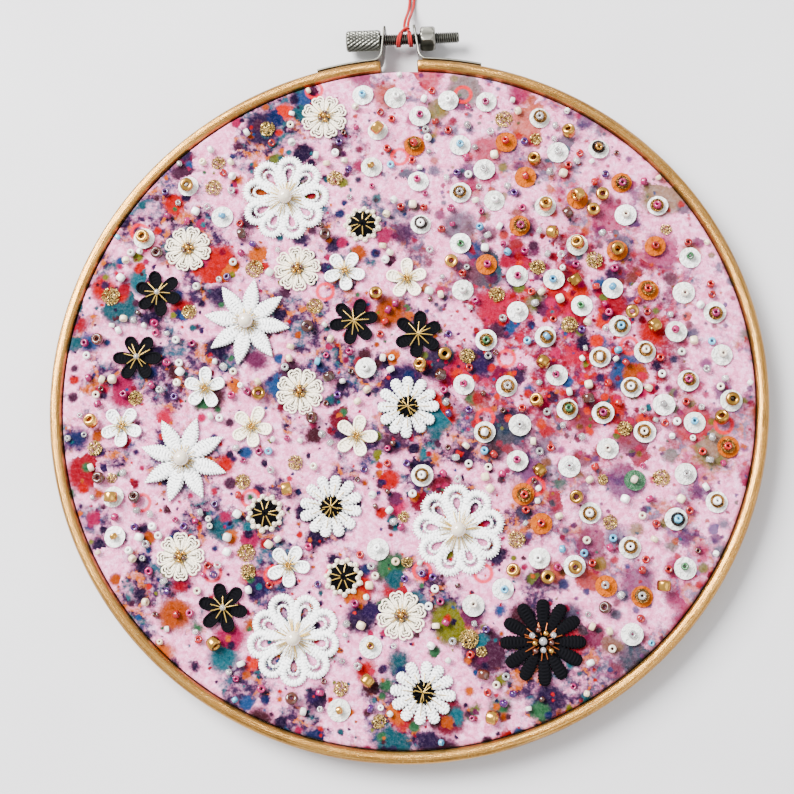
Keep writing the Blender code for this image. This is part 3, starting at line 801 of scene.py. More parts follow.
def make_camera():
    """The camera, above the face at the photograph's angle to it."""
    centre = Vector((0, CENTRE_Y * MM, RIM_DEPTH * MM))
    data = bpy.data.cameras.new("camera")
    data.lens = LENS
    data.sensor_width = 36
    data.clip_start = 0.01
    camera = bpy.data.objects.new("camera", data)
    camera.location = centre + CAMERA_WAY * CAMERA_DISTANCE
    back = (camera.location - (centre + AIM_SHIFT)).normalized()
    right = Vector((0, 1, 0)).cross(back).normalized()
    up = back.cross(right)
    turn = Matrix((right, up, back)).transposed().to_4x4()
    camera.matrix_world = Matrix.Translation(camera.location) @ turn @ Matrix.Rotation(CAMERA_ROLL, 4, "Z")
    bpy.context.scene.collection.objects.link(camera)
    bpy.context.scene.camera = camera


def make_light(name, place, power, size):
    """A soft square lamp aimed at the hoop."""
    data = bpy.data.lights.new(name, "AREA")
    data.energy = power
    data.size = size
    lamp = bpy.data.objects.new(name, data)
    lamp.location = place
    lamp.rotation_euler = (-Vector(place)).to_track_quat("-Z", "Y").to_euler()
    bpy.context.scene.collection.objects.link(lamp)


def make_surroundings():
    """A white room, its window at the upper left, and a pale floor."""
    world = bpy.data.worlds.new("room")
    world.use_nodes = True
    world.node_tree.nodes["Background"].inputs["Color"].default_value = (0.97, 0.98, 1.0, 1)
    world.node_tree.nodes["Background"].inputs["Strength"].default_value = 1.25
    bpy.context.scene.world = world
    make_light("window", (-0.75, 0.55, 1.05), 104, 0.8)
    make_light("room_fill", (0.9, -0.5, 1.1), 10, 1.2)

    bpy.ops.mesh.primitive_plane_add(size=6)
    floor = bpy.context.object
    floor.name = "floor"
    paint = Paint("floor", Roughness=0.8)
    where = paint.places()
    paint.colour(paint.ramp(paint.noise(where, 60.0, 2.0), ["#E0DFE0", "#E4E4E4"]))
    floor.data.materials.append(MATERIALS["floor"])


# Hoop


def strip_run(outline, share, radius):
    """For each point of a ring bent from a strip, how far it lies along the ring and round its outline."""
    around = np.cumsum(np.linalg.norm(np.diff(outline, axis=0, prepend=outline[-1:]), axis=1))
    along = share[:, None] * math.tau * radius
    return np.stack(np.broadcast_arrays(along, around, 0.0), -1)


def make_outer_ring():
    """The gold-painted ring, open at the screw, with faint ridges left by the brush."""
    outline = rounded_box(RIM_WIDTH, RIM_DEPTH, 1.55, 8, 0.6)
    share = np.concatenate([[0.0, 0.0006], np.linspace(0.002, 0.998, 420), [0.9994, 1.0]])
    inset = np.zeros(len(share))
    inset[[0, -1]] = 0.3
    brush = np.zeros((len(share), len(outline)))
    for rate in (3, 7, 13, 29, 61):
        phase = field.uniform(0, math.tau, len(outline))
        brush += 0.012 * np.sin(math.tau * rate * share[:, None] + phase)
    out = outline / np.linalg.norm(outline, axis=1)[:, None]
    depth = brush - inset[:, None]
    radius = HOOP_RADIUS - RIM_WIDTH / 2 + outline[:, 0] + out[:, 0] * depth
    height = np.maximum(RIM_DEPTH / 2 + outline[:, 1] + out[:, 1] * depth, 0)
    gap = np.arcsin(RING_OPENING / 2 / radius)
    angle = math.pi / 2 + gap + share[:, None] * (math.tau - 2 * gap)
    shape = loft(polar(radius, angle, height), run=strip_run(outline, share, HOOP_RADIUS))
    make_piece("rim", shape, "gold_paint", ["outer_ring"])


def make_inner_ring():
    """The wooden ring under the felt, bent from a strip whose ends meet."""
    outline = rounded_box(RIM_WIDTH, INNER_RING_TOP, 0.5, 3)
    radius = INNER_RING_RADIUS - RIM_WIDTH / 2 + outline[:, 0]
    height = INNER_RING_TOP / 2 + outline[:, 1]
    share = np.linspace(0.00008, 0.99992, 241)
    angle = math.radians(250) + share[:, None] * math.tau
    shape = loft(polar(radius, angle, height), run=strip_run(outline, share, INNER_RING_RADIUS))
    make_piece("under_ring", shape, "bare_wood", ["inner_ring"])


def felt_relief(x, y):
    """How far the felt's front rises or dips: soft waves, and a dimple at each thing sewn on."""
    rise = 0.11 * ripples(x, y, 17, 5) + 0.05 * ripples(x, y, 5, 6)
    for place_x, place_y, radius in sewn:
        away = (x - place_x) ** 2 + (y - place_y) ** 2
        rise = rise - 0.18 * np.exp(-away / (radius + 0.9) ** 2)
    return np.clip(rise, -0.45, 0.22)


def make_felt():
    """One sheet of felt: its front, its edge turned down between the rings, and its back."""
    inner = FELT_RADIUS - FELT_THICKNESS
    back = FELT_FRONT - FELT_THICKNESS
    front_rings = 74
    profile = [(radius, FELT_FRONT) for radius in np.linspace(0.6, FELT_RADIUS - FELT_FOLD, front_rings)]
    for angle in np.radians(18 * np.arange(1, 6)):
        profile.append(
            (FELT_RADIUS - FELT_FOLD * (1 - math.sin(angle)), FELT_FRONT - FELT_FOLD * (1 - math.cos(angle)))
        )
    profile += [(FELT_RADIUS, z) for z in (6.5, 5, 3.5, 2.2)]
    profile += [(FELT_RADIUS, HEM_HEIGHT + 0.2), (FELT_RADIUS - 0.3, HEM_HEIGHT)]
    profile += [(inner + 0.3, HEM_HEIGHT), (inner, HEM_HEIGHT + 0.2)]
    profile += [(inner, z) for z in (2.5, 4, 5.5, 7, back - 0.3)]
    profile += [(radius, back) for radius in np.linspace(inner - 0.3, 1.0, 16)]
    rings = spun(profile, 280)
    x, y, z = (rings[:, :, axis] for axis in range(3))
    fade = np.clip((FELT_RADIUS - 1 - np.hypot(x, y)) / 4, 0, 1)
    z[:front_rings] += (felt_relief(x, y) * fade)[:front_rings]
    hem = z < HEM_HEIGHT + 0.5
    z[hem] += (0.22 * ripples(x, y, 6, 9))[hem].clip(0, 1)
    poles = [(0, 0, z[0].mean()), (0, 0, back)]
    piece = make_piece("felt_sheet", loft(rings, poles=poles), "felt", ["felt"])


def make_fuzz():
    """Loose fibres that stand a little proud of the felt."""
    count = 4000
    radius = (FELT_RADIUS - 1.5) * np.sqrt(field.random(count))
    angle = field.uniform(0, math.tau, count)
    way = field.uniform(0, math.tau, count)
    length = field.uniform(0.7, 2.0, count)
    starts = polar(radius, angle, 0.0)
    starts[:, 2] = FELT_FRONT + felt_relief(starts[:, 0], starts[:, 1]) - 0.05
    ends = starts + polar(length, way, field.uniform(-0.05, 0.3, count))
    shape = strokes(starts, ends, 0.04, field.uniform(0.05, 0.35, count), sides=3)
    make_piece("felt_fuzz", shape, "felt", crease=40)


# Screw clamp and thread


def plate_line(ear):
    """The middle line of a bracket's plate, from the strap's far end to the ear's curled tip."""
    side, strap_start, ear_foot, ear_top = ear
    strap_radius = HOOP_RADIUS + 0.3 + PLATE_THICKNESS / 2
    far, near = (math.asin(reach / strap_radius) for reach in (STRAP_REACH, strap_start))
    strap = polar(strap_radius, math.pi / 2 - np.linspace(far, near, 12), 0.0)
    start_x, start_y, z = strap[-1]
    angles = np.radians(270 - 10 * np.arange(1, 10))
    fold_x = start_x + (start_x - ear_foot) * np.cos(angles)
    fold = np.stack([fold_x, start_y + FOLD_HEIGHT * (1 + np.sin(angles)), 0 * angles], -1)
    tip_y = HOOP_RADIUS + EAR_HEIGHT
    bend = np.array([ear_top, tip_y - 3 * EAR_TIP_CURL, 0])
    rise = fold[-1] + (bend - fold[-1]) * np.arange(1, 6)[:, None] / 5
    curl = [(ear_top - EAR_TIP_CURL * 0.4, tip_y - 1.2 * EAR_TIP_CURL, 0), (ear_top - EAR_TIP_CURL, tip_y, 0)]
    return np.vstack([strap, fold, rise, curl]) * (side, 1, 1)


def bolt_rings(xs, radii, steps):
    """Rings of points about the bolt's axis, radii being a row of radii for each x."""
    angles = round_angles(steps)
    x = np.asarray(xs, float)[:, None]
    return np.stack(
        np.broadcast_arrays(x, BOLT_Y + radii * np.cos(angles), BOLT_Z + radii * np.sin(angles)), -1
    )


def make_bracket(name, node, ear):
    """A folded steel plate with rounded edges, darker up its ear by painted shade, and a hole that the bolt
    goes through.
    """
    line = plate_line(ear)
    section = rounded_box(PLATE_THICKNESS, PLATE_WIDTH, 0.2, 3)
    across, rise = frames_along(line)
    rings = line[:, None] + across[:, None] * section[:, :1] + (0, 0, RIM_DEPTH / 2)
    rings = rings + np.array([0, 0, 1.0]) * section[:, 1:]
    up_ear = line[:, 1] - HOOP_RADIUS
    # Painted shade: the plate darkens up its ear and is darkest at the curled tip, while the strap stays
    # nearly plain.
    painted_plate_shade = np.interp(up_ear, [1, 4, EAR_HEIGHT - 1.2, EAR_HEIGHT], [0.45, 0.32, 0.26, 0.02])
    painted_plate_shade = np.append(np.repeat(painted_plate_shade, len(section)), [0.4, 0.02])
    bracket = make_piece(name, loft(rings, painted_plate_shade), "steel", [node], 50)

    side, strap_start, ear_foot, ear_top = ear
    middle = side * (ear_foot + ear_top) / 2
    hole = loft(bolt_rings([middle - 2, middle + 2], np.full((2, 1), HOLE_RADIUS), HOLE_STEPS))
    cutter = make_object("hole_cutter", hole, "steel", 40)
    cut = bracket.modifiers.new("hole", "BOOLEAN")
    cut.object = cutter
    depsgraph = bpy.context.evaluated_depsgraph_get()
    mesh = bpy.data.meshes.new_from_object(bracket.evaluated_get(depsgraph))
    bracket.modifiers.remove(cut)
    bracket.data = mesh
    bpy.data.objects.remove(cutter)


def make_screw():
    """The screw with its cut thread and knurled knob."""
    steps = 28
    xs = np.arange(KNOB_INNER_X, BOLT_END_X, THREAD_PITCH / 6)
    phase = (xs[:, None] / THREAD_PITCH - np.arange(steps) / steps) % 1
    crest = np.abs(2 * phase - 1)
    tip = np.clip((BOLT_END_X - xs) / 0.5, 0, 1)[:, None]
    radii = (BOLT_RADIUS - 0.02 - 0.34 * crest**1.2) * (0.72 + 0.28 * tip)
    # Painted shade: the thread's roots darken, while its crests stay plain.
    valley = np.clip(0.5 - 0.9 * crest**2, 0, 1)
    shank = loft(bolt_rings(xs, radii, steps), np.append(valley.ravel(), [0.5, 0.5]))

    steps = 128
    xs = np.linspace(KNOB_OUTER_X, KNOB_INNER_X, 96)
    across = np.arange(steps) / steps * KNURLS
    along = (xs[:, None] - KNOB_OUTER_X) / KNURL_LENGTH
    upper = 0.5 + 0.5 * np.cos(round_angles(steps))
    first = np.abs(((across + along) % 1) * 2 - 1) + 0.45 * upper
    second = np.abs(((across - along) % 1) * 2 - 1) + 0.45 * (1 - upper)
    depth = KNURL_DEPTH * np.clip(1.3 * np.minimum(first, second), 0, 1)
    edge = np.minimum(xs - KNOB_OUTER_X, KNOB_INNER_X - xs)[:, None]
    chamfer = np.clip(0.3 - edge, 0, 0.3)
    fade = np.clip((edge - 0.35) / 0.3, 0, 1)
    radii = KNOB_RADIUS - KNURL_DEPTH + depth * fade + 0.26 * (1 - fade) - chamfer
    # Painted shade: the knurl's grooves darken, while its ridges stay plain.
    groove = 0.5 - fade * (0.5 - 1.4 * depth)
    knob = loft(bolt_rings(xs, radii, steps), np.append(groove.ravel(), [0.5, 0.5]))
    make_piece("clamp_bolt", joined([shank, knob]), "screw_steel", ["clamp_screw"], 28)


def make_nut():
    """The nut, its corners rounded off at both ends and a bore through it."""
    steps = 120
    angles = round_angles(steps)
    side_angle = (angles % (math.tau / 6)) - math.tau / 12
    hexagon = NUT_CORNER_RADIUS * math.cos(math.pi / 6) / np.cos(side_angle)
    inward = np.array([0, 0.1, 0.25, 0.45, 0.7, 1.0, 1.3])
    middle_x = (NUT_START_X + NUT_END_X) / 2
    xs = np.concatenate([NUT_START_X + inward, [middle_x], NUT_END_X - inward[::-1]])
    edge = np.minimum(xs - NUT_START_X, NUT_END_X - xs)[:, None]
    bound = NUT_CORNER_RADIUS - 0.95 * (1 - np.clip(edge / 1.3, 0, 1)) ** 2
    outside = bolt_rings(xs, np.minimum(hexagon, bound), steps)
    # Painted reflection: each flat is darker in its middle and lighter at its corners and near the nut's
    # ends. The bore carries a dark painted shade.
    wear_and_painted_reflection = 0.2 + 0.3 * (np.abs(side_angle) / (math.tau / 12)) + 0.1 * (1 - np.clip(edge, 0, 1))
    bore_xs = [NUT_END_X, NUT_END_X - 0.3, NUT_START_X + 0.3, NUT_START_X]
    bore = bolt_rings(bore_xs, np.array([[2.3], [1.9], [1.9], [2.3]]), steps)
    shade = np.append(wear_and_painted_reflection.ravel(), np.full(4 * steps, 0.1))
    make_piece("clamp_nut", looped(np.concatenate([outside, bore]), shade), "steel", ["hex_nut"], 24)


def make_thread():
    """The coral thread: two wraps round the bolt, their knot, and the loop that lies beyond."""
    angles = round_angles(90)
    reach = BOLT_RADIUS - 0.1 + WRAP_DIAMETER / 2
    wraps = []
    for wrap_x, lean in WRAPS:
        for shift in (-0.3, 0.3):
            x = wrap_x + shift + lean * np.cos(angles)
            path = np.stack([x, BOLT_Y + reach * np.cos(angles), BOLT_Z + reach * np.sin(angles)], -1)
            wraps.append(plied_tube(path, WRAP_DIAMETER, (1, 0, 0), closed=True))
    for strand in KNOT_STRANDS:
        route = np.array(strand) + (0, BOLT_Y, BOLT_Z)
        wraps.append(plied_tube(smooth_path(route, 0.2), KNOT_DIAMETER))
    angles = round_angles(45)
    x = KNOT_X + 0.95 * np.cos(angles)
    y = BOLT_Y + KNOT_RISE + 0.25 * np.cos(angles)
    path = np.stack([x, y, BOLT_Z + 0.95 + 0.75 * np.sin(angles)], -1)
    wraps.append(plied_tube(path, 0.7, (0, 1, 0.2), closed=True))
    make_piece("thread_wraps", joined(wraps), "coral_thread", ["thread_hitch"], 80)

    route = smooth_path(THREAD_ROUTE, THREAD_STEP)
    shape = plied_tube(route, THREAD_DIAMETER)
    loop = make_piece("thread_loop", shape, "coral_thread", ["hanging_thread"], 80)
    path = (route + (0, CENTRE_Y, 0)) * MM
    path[0]


# Lace


def leaf_width(u):
    """A petal's width along it, pointed at its tip."""
    return np.sin(math.pi * u**0.8) ** 0.9


def round_width(u, base=0.4, blunt=6.0):
    """A petal's width along it, narrow at its foot and round at its tip."""
    return (base + (1 - base) * u**0.9) * np.sqrt((1 - u**blunt) * (1 - (1 - u) ** 14))


def petal(
    length, width, outline, start, crown, groove=0.3, dish=0.0, lift=0.25, serrate=0.06, rows=44, sides=14
):
    """One satin-stitched petal along +X: a low pillow with a groove, its stitches slanting out from it."""
    u = np.linspace(0.012, 0.988, rows)[:, None]
    angles = round_angles(sides)
    across, above = np.cos(angles), np.sin(angles)
    x = start + u * length + 0 * across
    half = width / 2 * outline(u)
    half = half * (1 + serrate * np.cos(math.tau * (x - 0.8 * half) / STITCH_PITCH))
    y = half * across
    stitches = np.cos(math.tau * (x - 0.8 * np.abs(y)) / STITCH_PITCH)
    full = np.sqrt(outline(u))
    edge = 0.42 * full
    valley = groove * np.exp(-((across / 0.22) ** 2))
    hollow = 1 - valley - dish * (1 - across**2) ** 1.5
    top = edge + (crown * full - edge) * np.abs(above) ** 0.6 * hollow
    top = top + STITCH_RIDGE * stitches * np.abs(above)
    z = np.where(above >= 0, top, edge * (1 + above)) + lift * u**2
    # Painted shade and highlight: the underside is dark, the top is lighter towards its crown and on each
    # stitch's crest, and the groove is darker.
    shade = np.where(above >= 0, 0.28 + 0.42 * np.abs(above) + 0.32 * stitches, 0.15) - 0.3 * valley
    return loft(np.stack([x, y, z], -1), np.append(shade.ravel(), [0.3, 0.3]))


def ring_of(make, count, spread):
    """Copies of a shape turned about Z, each made anew and a little unlike the next."""
    copies = []
    for number in range(count):
        angle = number * math.tau / count + chooser.uniform(-spread, spread)
        copies.append(make().moved(at(0, 0, chooser.uniform(0, 0.06), angle)))
    return copies


def petals(count, spread, lengths, *form, **finer_form):
    """A ring of satin-stitched petals, each of its own length."""
    return ring_of(lambda: petal(chooser.uniform(*lengths), *form, **finer_form), count, spread)


def corded_petals(count, spread, lengths, width):
    """A ring of corded petals, each of its own length."""
    return ring_of(lambda: corded_petal(chooser.uniform(*lengths), width), count, spread)


def spokes(count, inner, outer, radius, low, high, spread=0.15, shade=0.5):
    """Straight stitches that run out from the middle."""
    angle = round_angles(count) + field.uniform(-spread, spread, count)
    starts = polar(inner * field.uniform(0.6, 1.1, count), angle, low)
    ends = polar(outer * field.uniform(0.8, 1.08, count), angle, high)
    return strokes(starts, ends, radius, 0.2, shade=shade)


def ball(radius, steps, squash=1.0):
    """A round bead without a hole, resting on z 0."""
    angles = np.linspace(0, math.pi, steps // 2 + 1)
    return turned(np.stack([radius * np.sin(angles), radius * squash * (1 + np.cos(angles))], -1), steps)


def bead_circle(parts, kinds, count, reaches, z, radius, steps, start=0.0, squash=1.0):
    """Adds a circle of beads to a flower's parts, taking their kinds and reaches in turn."""
    for number in range(count):
        angle = start + number * math.tau / count
        reach = reaches[number % len(reaches)]
        place = at(reach * math.cos(angle), reach * math.sin(angle), z)
        parts[kinds[number % len(kinds)]].append(ball(radius, steps, squash).moved(place))


def scalloped_disc(reach, thickness, steps):
    """A thin disc whose edge follows reach, one radius or one for each of the steps round it."""
    levels = [(share, thickness) for share in (0.2, 0.4, 0.6, 0.8, 1.0)] + [(0.99, 0.0), (0.5, 0.0)]
    rings = [polar(reach * share, round_angles(steps), z) for share, z in levels]
    return loft(rings, 0.25, poles=[(0, 0, thickness), (0, 0, 0)])


def star_flower(parts):
    """Eight pointed white petals round a pearl."""
    parts["white_lace"] += petals(
        8, 0.05, (10.6, 11.4), 4.6, leaf_width, 1.7, 1.35, lift=0.5, rows=76, sides=16
    )
    parts["white_lace"].append(scalloped_disc(3.0, 0.7, 24))
    parts["gold_thread"].append(spokes(26, 1.6, 4.0, 0.13, 1.5, 1.35))
    parts["pearl"].append(ball(2.1, 28).moved(at(0, 0, 1.0)))


def loop_petal(length, fringe):
    """One open petal: a broad band, a fine inner loop, and stitches that fray from its edge."""
    wide = length * 0.235
    edge = [(0.16, 0.05), (0.42, 0.40), (0.66, 0.92), (0.86, 0.95), (0.98, 0.5)]
    points = [(length * x, wide * y, 0.55) for x, y in edge] + [(length, 0, 0.6)]
    points += [(x, -y, z) for x, y, z in points[-2::-1]]
    outer = smooth_path(points, 0.26)
    middle = length / 2
    inner = smooth_path([(middle + (x - middle) * 0.62, y * 0.5, 0.75) for x, y, z in points[1:-1]], 0.3)
    shapes = [tube(outer, 1.7, 0.95, 8, 0.16, shade=0.6), tube(inner, 0.8, 0.6, 6, 0.16)]
    side, rise = frames_along(outer)
    past = slice(len(outer) // 5, -(len(outer) // 5), 2)
    starts = outer[past] - side[past] * 0.35 + (0, 0, 0.25)
    direction = 1 if side[len(side) // 2, 0] > 0 else -1
    ends = outer[past] + side[past] * direction * (0.95 + fringe * field.random(len(starts))[:, None])
    shapes.append(strokes(starts, ends, 0.17, 0.12, 4, 0.7))
    rungs = outer[len(outer) // 6 : -(len(outer) // 6) : 3]
    toward = np.stack([rungs[:, 0] * 0.86 + length * 0.06, rungs[:, 1] * 0.45, np.full(len(rungs), 0.7)], -1)
    shapes.append(strokes(rungs + (0, 0, 0.1), toward, 0.13, 0.05, 4, 0.4))
    return joined(shapes)


def loop_flower(parts):
    """Nine open loops of white lace with gold stamens and a pearl."""
    fringe = chooser.choice((0.1, 0.5))
    parts["white_lace"] += ring_of(lambda: loop_petal(chooser.uniform(11.3, 12.0), fringe), 9, 0.03)
    parts["white_lace"].append(scalloped_disc(3.4, 0.6, 28))
    parts["white_lace"].append(spokes(46, 2.2, 6.2, 0.15, 0.9, 0.8, shade=0.65))
    parts["gold_thread"].append(spokes(34, 1.7, 5.6, 0.13, 1.5, 1.1, 0.3))
    parts["pearl"].append(ball(2.05, 28).moved(at(0, 0, 0.9)))


def daisy(parts):
    """Twelve round white petals with gold thread between them and a black middle."""
    parts["white_lace"] += petals(12, 0.04, (6.1, 6.7), 4.0, round_width, 2.4, 1.25, 0.15, lift=0.2, sides=12)
    parts["black_thread"].append(scalloped_disc(2.9, 0.75, 20))
    parts["black_thread"].append(spokes(30, 0.3, 3.4, 0.24, 1.15, 1.05, 0.2, 0.4))
    parts["gold_thread"].append(spokes(12, 2.4, 6.8, 0.13, 1.4, 1.0, 0.03))
    parts["gold_thread"].append(spokes(7, 0.2, 2.6, 0.14, 1.7, 1.5, 0.4))


def dark_daisy(parts):
    """Twelve long black petals round a cluster of crystal, gold and garnet beads."""
    parts["black_lace"] += petals(
        12, 0.05, (9.3, 9.9), 4.7, round_width, 2.0, 1.3, 0.35, serrate=0.08, rows=66
    )
    parts["black_lace"].append(scalloped_disc(3.0, 0.8, 20))
    parts["copper_thread"].append(spokes(18, 2.2, 5.2, 0.16, 1.6, 1.3, 0.25))
    kinds = ("clear_bead", "gold_bead", "garnet_bead")
    bead_circle(parts, kinds, 9, (3.3, 2.3), 1.3, 0.85, 12, squash=0.9)
    parts["clear_bead"].append(ball(1.15, 14).moved(at(0, 0, 1.6)))


def dark_flower(parts):
    """Six broad black petals, each with a raised edge, and a few straight gold stitches."""
    parts["black_lace"] += corded_petals(6, 0.08, (5.2, 5.7), 5.0)
    parts["black_lace"].append(scalloped_disc(1.9, 0.8, 16))
    parts["gold_thread"].append(spokes(9, 0.2, 4.0, 0.15, 1.75, 1.5, 0.3))
    if chooser.random() < 0.5:
        parts["clear_bead"].append(ball(0.9, 14).moved(at(0, 0, 1.3)))


def scallop_lobe():
    """One lobe of cream cord, with two smaller ones inside it."""
    shapes = []
    for size, width, z in ((1.0, 0.62, 0.55), (0.66, 0.5, 0.8), (0.36, 0.42, 0.75)):
        points = [
            (2.0, 0.45 * size, z),
            (4.2, 1.35 * size, z),
            (3.6 + 2.2 * size, 1.65 * size, z),
            (3.9 + 2.6 * size, 0.75 * size, z),
            (3.75 + 2.35 * size, 0, z),
        ]
        points += [(x, -y, z) for x, y, z in points[-2::-1]]
        shapes.append(tube(smooth_path(points, 0.3), width, width, 6, 0.08, shade=0.6))
    return joined(shapes)


def scallop(parts):
    """Eight triple lobes of cream cord round gold and amber beads."""
    parts["cream_lace"] += ring_of(scallop_lobe, 8, 0.03)
    parts["cream_lace"].append(scalloped_disc(5.0 + 0.7 * np.abs(np.cos(4 * round_angles(64))), 0.45, 64))
    parts["gold_thread"].append(spokes(14, 0.8, 3.3, 0.13, 1.2, 1.0, 0.25))
    bead_circle(parts, ("gold_bead", "garnet_bead"), 5, (1.25,), 0.9, 0.62, 10, 0.4)
    parts["gold_bead"].append(ball(0.75, 12).moved(at(0, 0, 1.25)))


def blunt_width(u):
    """A petal's width along it, rounder at its tip than round_width."""
    return round_width(u, 0.4, 3.5)


def corded_petal(length, width):
    """A small petal with a raised cord round its edge and stitches across its hollow."""
    body = petal(length, width * 0.92, blunt_width, 1.2, 0.85, 0.0, 0.5, lift=0.45, rows=26, sides=12)
    u = np.linspace(0.06, 0.985, 9)
    half = width / 2 * blunt_width(u) * 0.86
    edge = [(1.2 + share * length, y, 0.62 + 0.45 * share**2) for share, y in zip(u, half)]
    edge += [(x, -y, z) for x, y, z in edge[::-1]]
    return joined([body, tube(smooth_path(edge, 0.25), 0.62, 0.62, 6, 0.14, 0.62, 0.75)])


def small_flower(parts):
    """Five spoon-shaped petals round a tuft of gold stitches."""
    colour = chooser.choice(("white_lace", "cream_lace"))
    parts[colour] += corded_petals(5, 0.1, (4.3, 4.7), 4.8)
    parts[colour].append(scalloped_disc(1.7, 0.7, 16))
    parts["gold_thread"].append(spokes(16, 0.2, 3.1, 0.14, 1.5, 1.3, 0.3))
    bead_circle(parts, ("gold_bead",), 4, (0.65,), 1.2, 0.45, 8)


def coil_knot(radius):
    """A knot of thread wound on itself."""
    turns = np.linspace(0, 2.4 * math.tau, 34)
    path = polar(radius * np.linspace(0.62, 0.12, 34), turns, 0.25 + radius * np.linspace(0.0, 1.0, 34))
    return tube(path, radius * 0.72, radius * 0.72, 6, shade=0.6)


def knot_pad(parts):
    """A black pad with a ring of cream knots and gold stitches across it."""
    parts["black_lace"].append(scalloped_disc(3.7, 0.9, 36))
    parts["black_lace"].append(spokes(44, 0.3, 3.9, 0.24, 1.3, 0.8, 0.1, 0.4))
    for number in range(22):
        angle = number * math.tau / 22
        away = 3.95 if number % 2 else 4.75
        place = at(away * math.cos(angle), away * math.sin(angle), 0, chooser.uniform(0, math.tau))
        parts["cream_lace"].append(coil_knot(chooser.uniform(0.85, 1.05)).moved(place))
    parts["gold_thread"].append(spokes(8, 1.2, 3.9, 0.16, 1.5, 1.2, 0.25))


RECIPES = {
    recipe.__name__: recipe
    for recipe in (star_flower, loop_flower, dark_daisy, daisy, dark_flower, scallop, small_flower, knot_pad)
}


def node_place(node):
    """Where a sewn-on solid lies: its middle, its reach, and the way of its farthest point."""
    points = np.array([vert.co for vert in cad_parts[node].data.vertices]) / MM
    points[:, 1] -= CENTRE_Y
    middle = points[points[:, 2].argmax()]
    away = points[:, :2] - middle[:2]
    far = away[np.hypot(*away.T).argmax()]
    return middle[0], middle[1], np.hypot(*far), math.atan2(far[1], far[0])


def sew_flowers():
    """Dresses each flower's solid. Its lace is a piece of its own; its beads and stitches join the heaps."""
    for node in sorted(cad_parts):
        kind = node.rsplit("_", 1)[0]
        if kind not in RECIPES:
            continue
        x, y, reach, turn = node_place(node)
        sewn.append((x, y, reach))
        parts = defaultdict(list)
        RECIPES[kind](parts)
        place = at(x, y, FELT_FRONT - 0.1, turn, chooser.uniform(0, 0.03), chooser.uniform(0, math.tau))
        lace = "black_lace" if "black_lace" in parts else next(name for name in parts if "lace" in name)
        shape = joined(parts[lace]).moved(place)
        make_piece("lace_" + node, shape, lace, [node])
        for material, shapes in parts.items():
            if material != lace:
                heaps[material].append(joined(shapes).moved(place))


# Beads and sequins


def bead_shape(radius, height, hole, steps=14):
    """A bead with a hole, lying on z 0 with its hole upright."""
    outline = rounded_box(radius - hole, height, min(radius - hole, height) * 0.47, 2)
    return looped(spun(outline + ((radius + hole) / 2, height / 2), steps))


def squared(value):
    """A sine or cosine drawn towards its ends, so that a ball made with it is nearly a cube."""
    return np.sign(value) * np.abs(value) ** 0.6


def cube_shape(width, steps=24):
    """A cube bead with well rounded corners, resting on z 0."""
    rise = np.linspace(-math.pi / 2, math.pi / 2, 13)[1:-1, None]
    around = round_angles(steps)
    level = squared(np.cos(rise))
    x = level * squared(np.cos(around))
    y = level * squared(np.sin(around))
    z = 1 + squared(np.sin(rise)) + 0 * around
    return loft(np.stack([x, y, z], -1) * width / 2)


def disc_shape(radius, cup, crinkle, steps=40):
    """A sequin with its hole, cupped by so much and crinkled like a fan."""
    across = [0.16, 0.35, 0.55, 0.72, 0.86, 0.97, 1.0]
    angles = round_angles(steps)
    phase = field.uniform(0, math.tau, 3)
    wave = np.cos(7 * angles + phase[0]) + 0.7 * np.cos(11 * angles + phase[1])
    rings = []
    for share, up in [(share, 1) for share in across] + [(share, 0) for share in across[::-2]]:
        reach = radius * share * (1 + 0.006 * np.cos(11 * angles + phase[2]))
        ring_wave = crinkle * share * (share * wave + 0.6 * np.cos(5 * math.tau * share + phase[2]))
        rings.append(polar(reach, angles, cup * share**2 + ring_wave + SEQUIN_THICKNESS * up))
    return looped(rings)


def add_bead(material, template, x, y, z, lying=0.35):
    """Adds a bead to its heap, most of them with the hole up and some on their side."""
    on_side = chooser.random() < lying
    tilt = chooser.uniform(1.1, 1.57) if on_side else chooser.uniform(0, 0.45)
    radius = template.points[:, 0].max()
    height = template.points[:, 2].max()
    lift = radius * math.sin(tilt) + height / 2 * math.cos(tilt)
    middle = Matrix.Translation((0, 0, -height / 2))
    way = chooser.uniform(0, math.tau)
    place = at(x, y, z + lift - 0.08, chooser.uniform(0, math.tau), tilt, way) @ middle
    heaps[material].append(template.moved(place, chooser.uniform(0.1, 0.9)))


SEED_BEAD = bead_shape(1.12, 1.5, 0.38)
SMALL_BEAD = bead_shape(0.85, 1.2, 0.3, 12)
GLASS_BEAD = bead_shape(1.75, 2.5, 0.45, 18)
METAL_BEAD = bead_shape(1.95, 2.9, 0.62, 20)
CUBE_BEAD = cube_shape(2.3)
SEQUIN_BEADS = ["white_bead", "pink_bead", "white_bead", "clear_bead", "pearl", "aqua_bead", "gold_bead",
                "green_bead", "clear_bead", "pink_bead"]


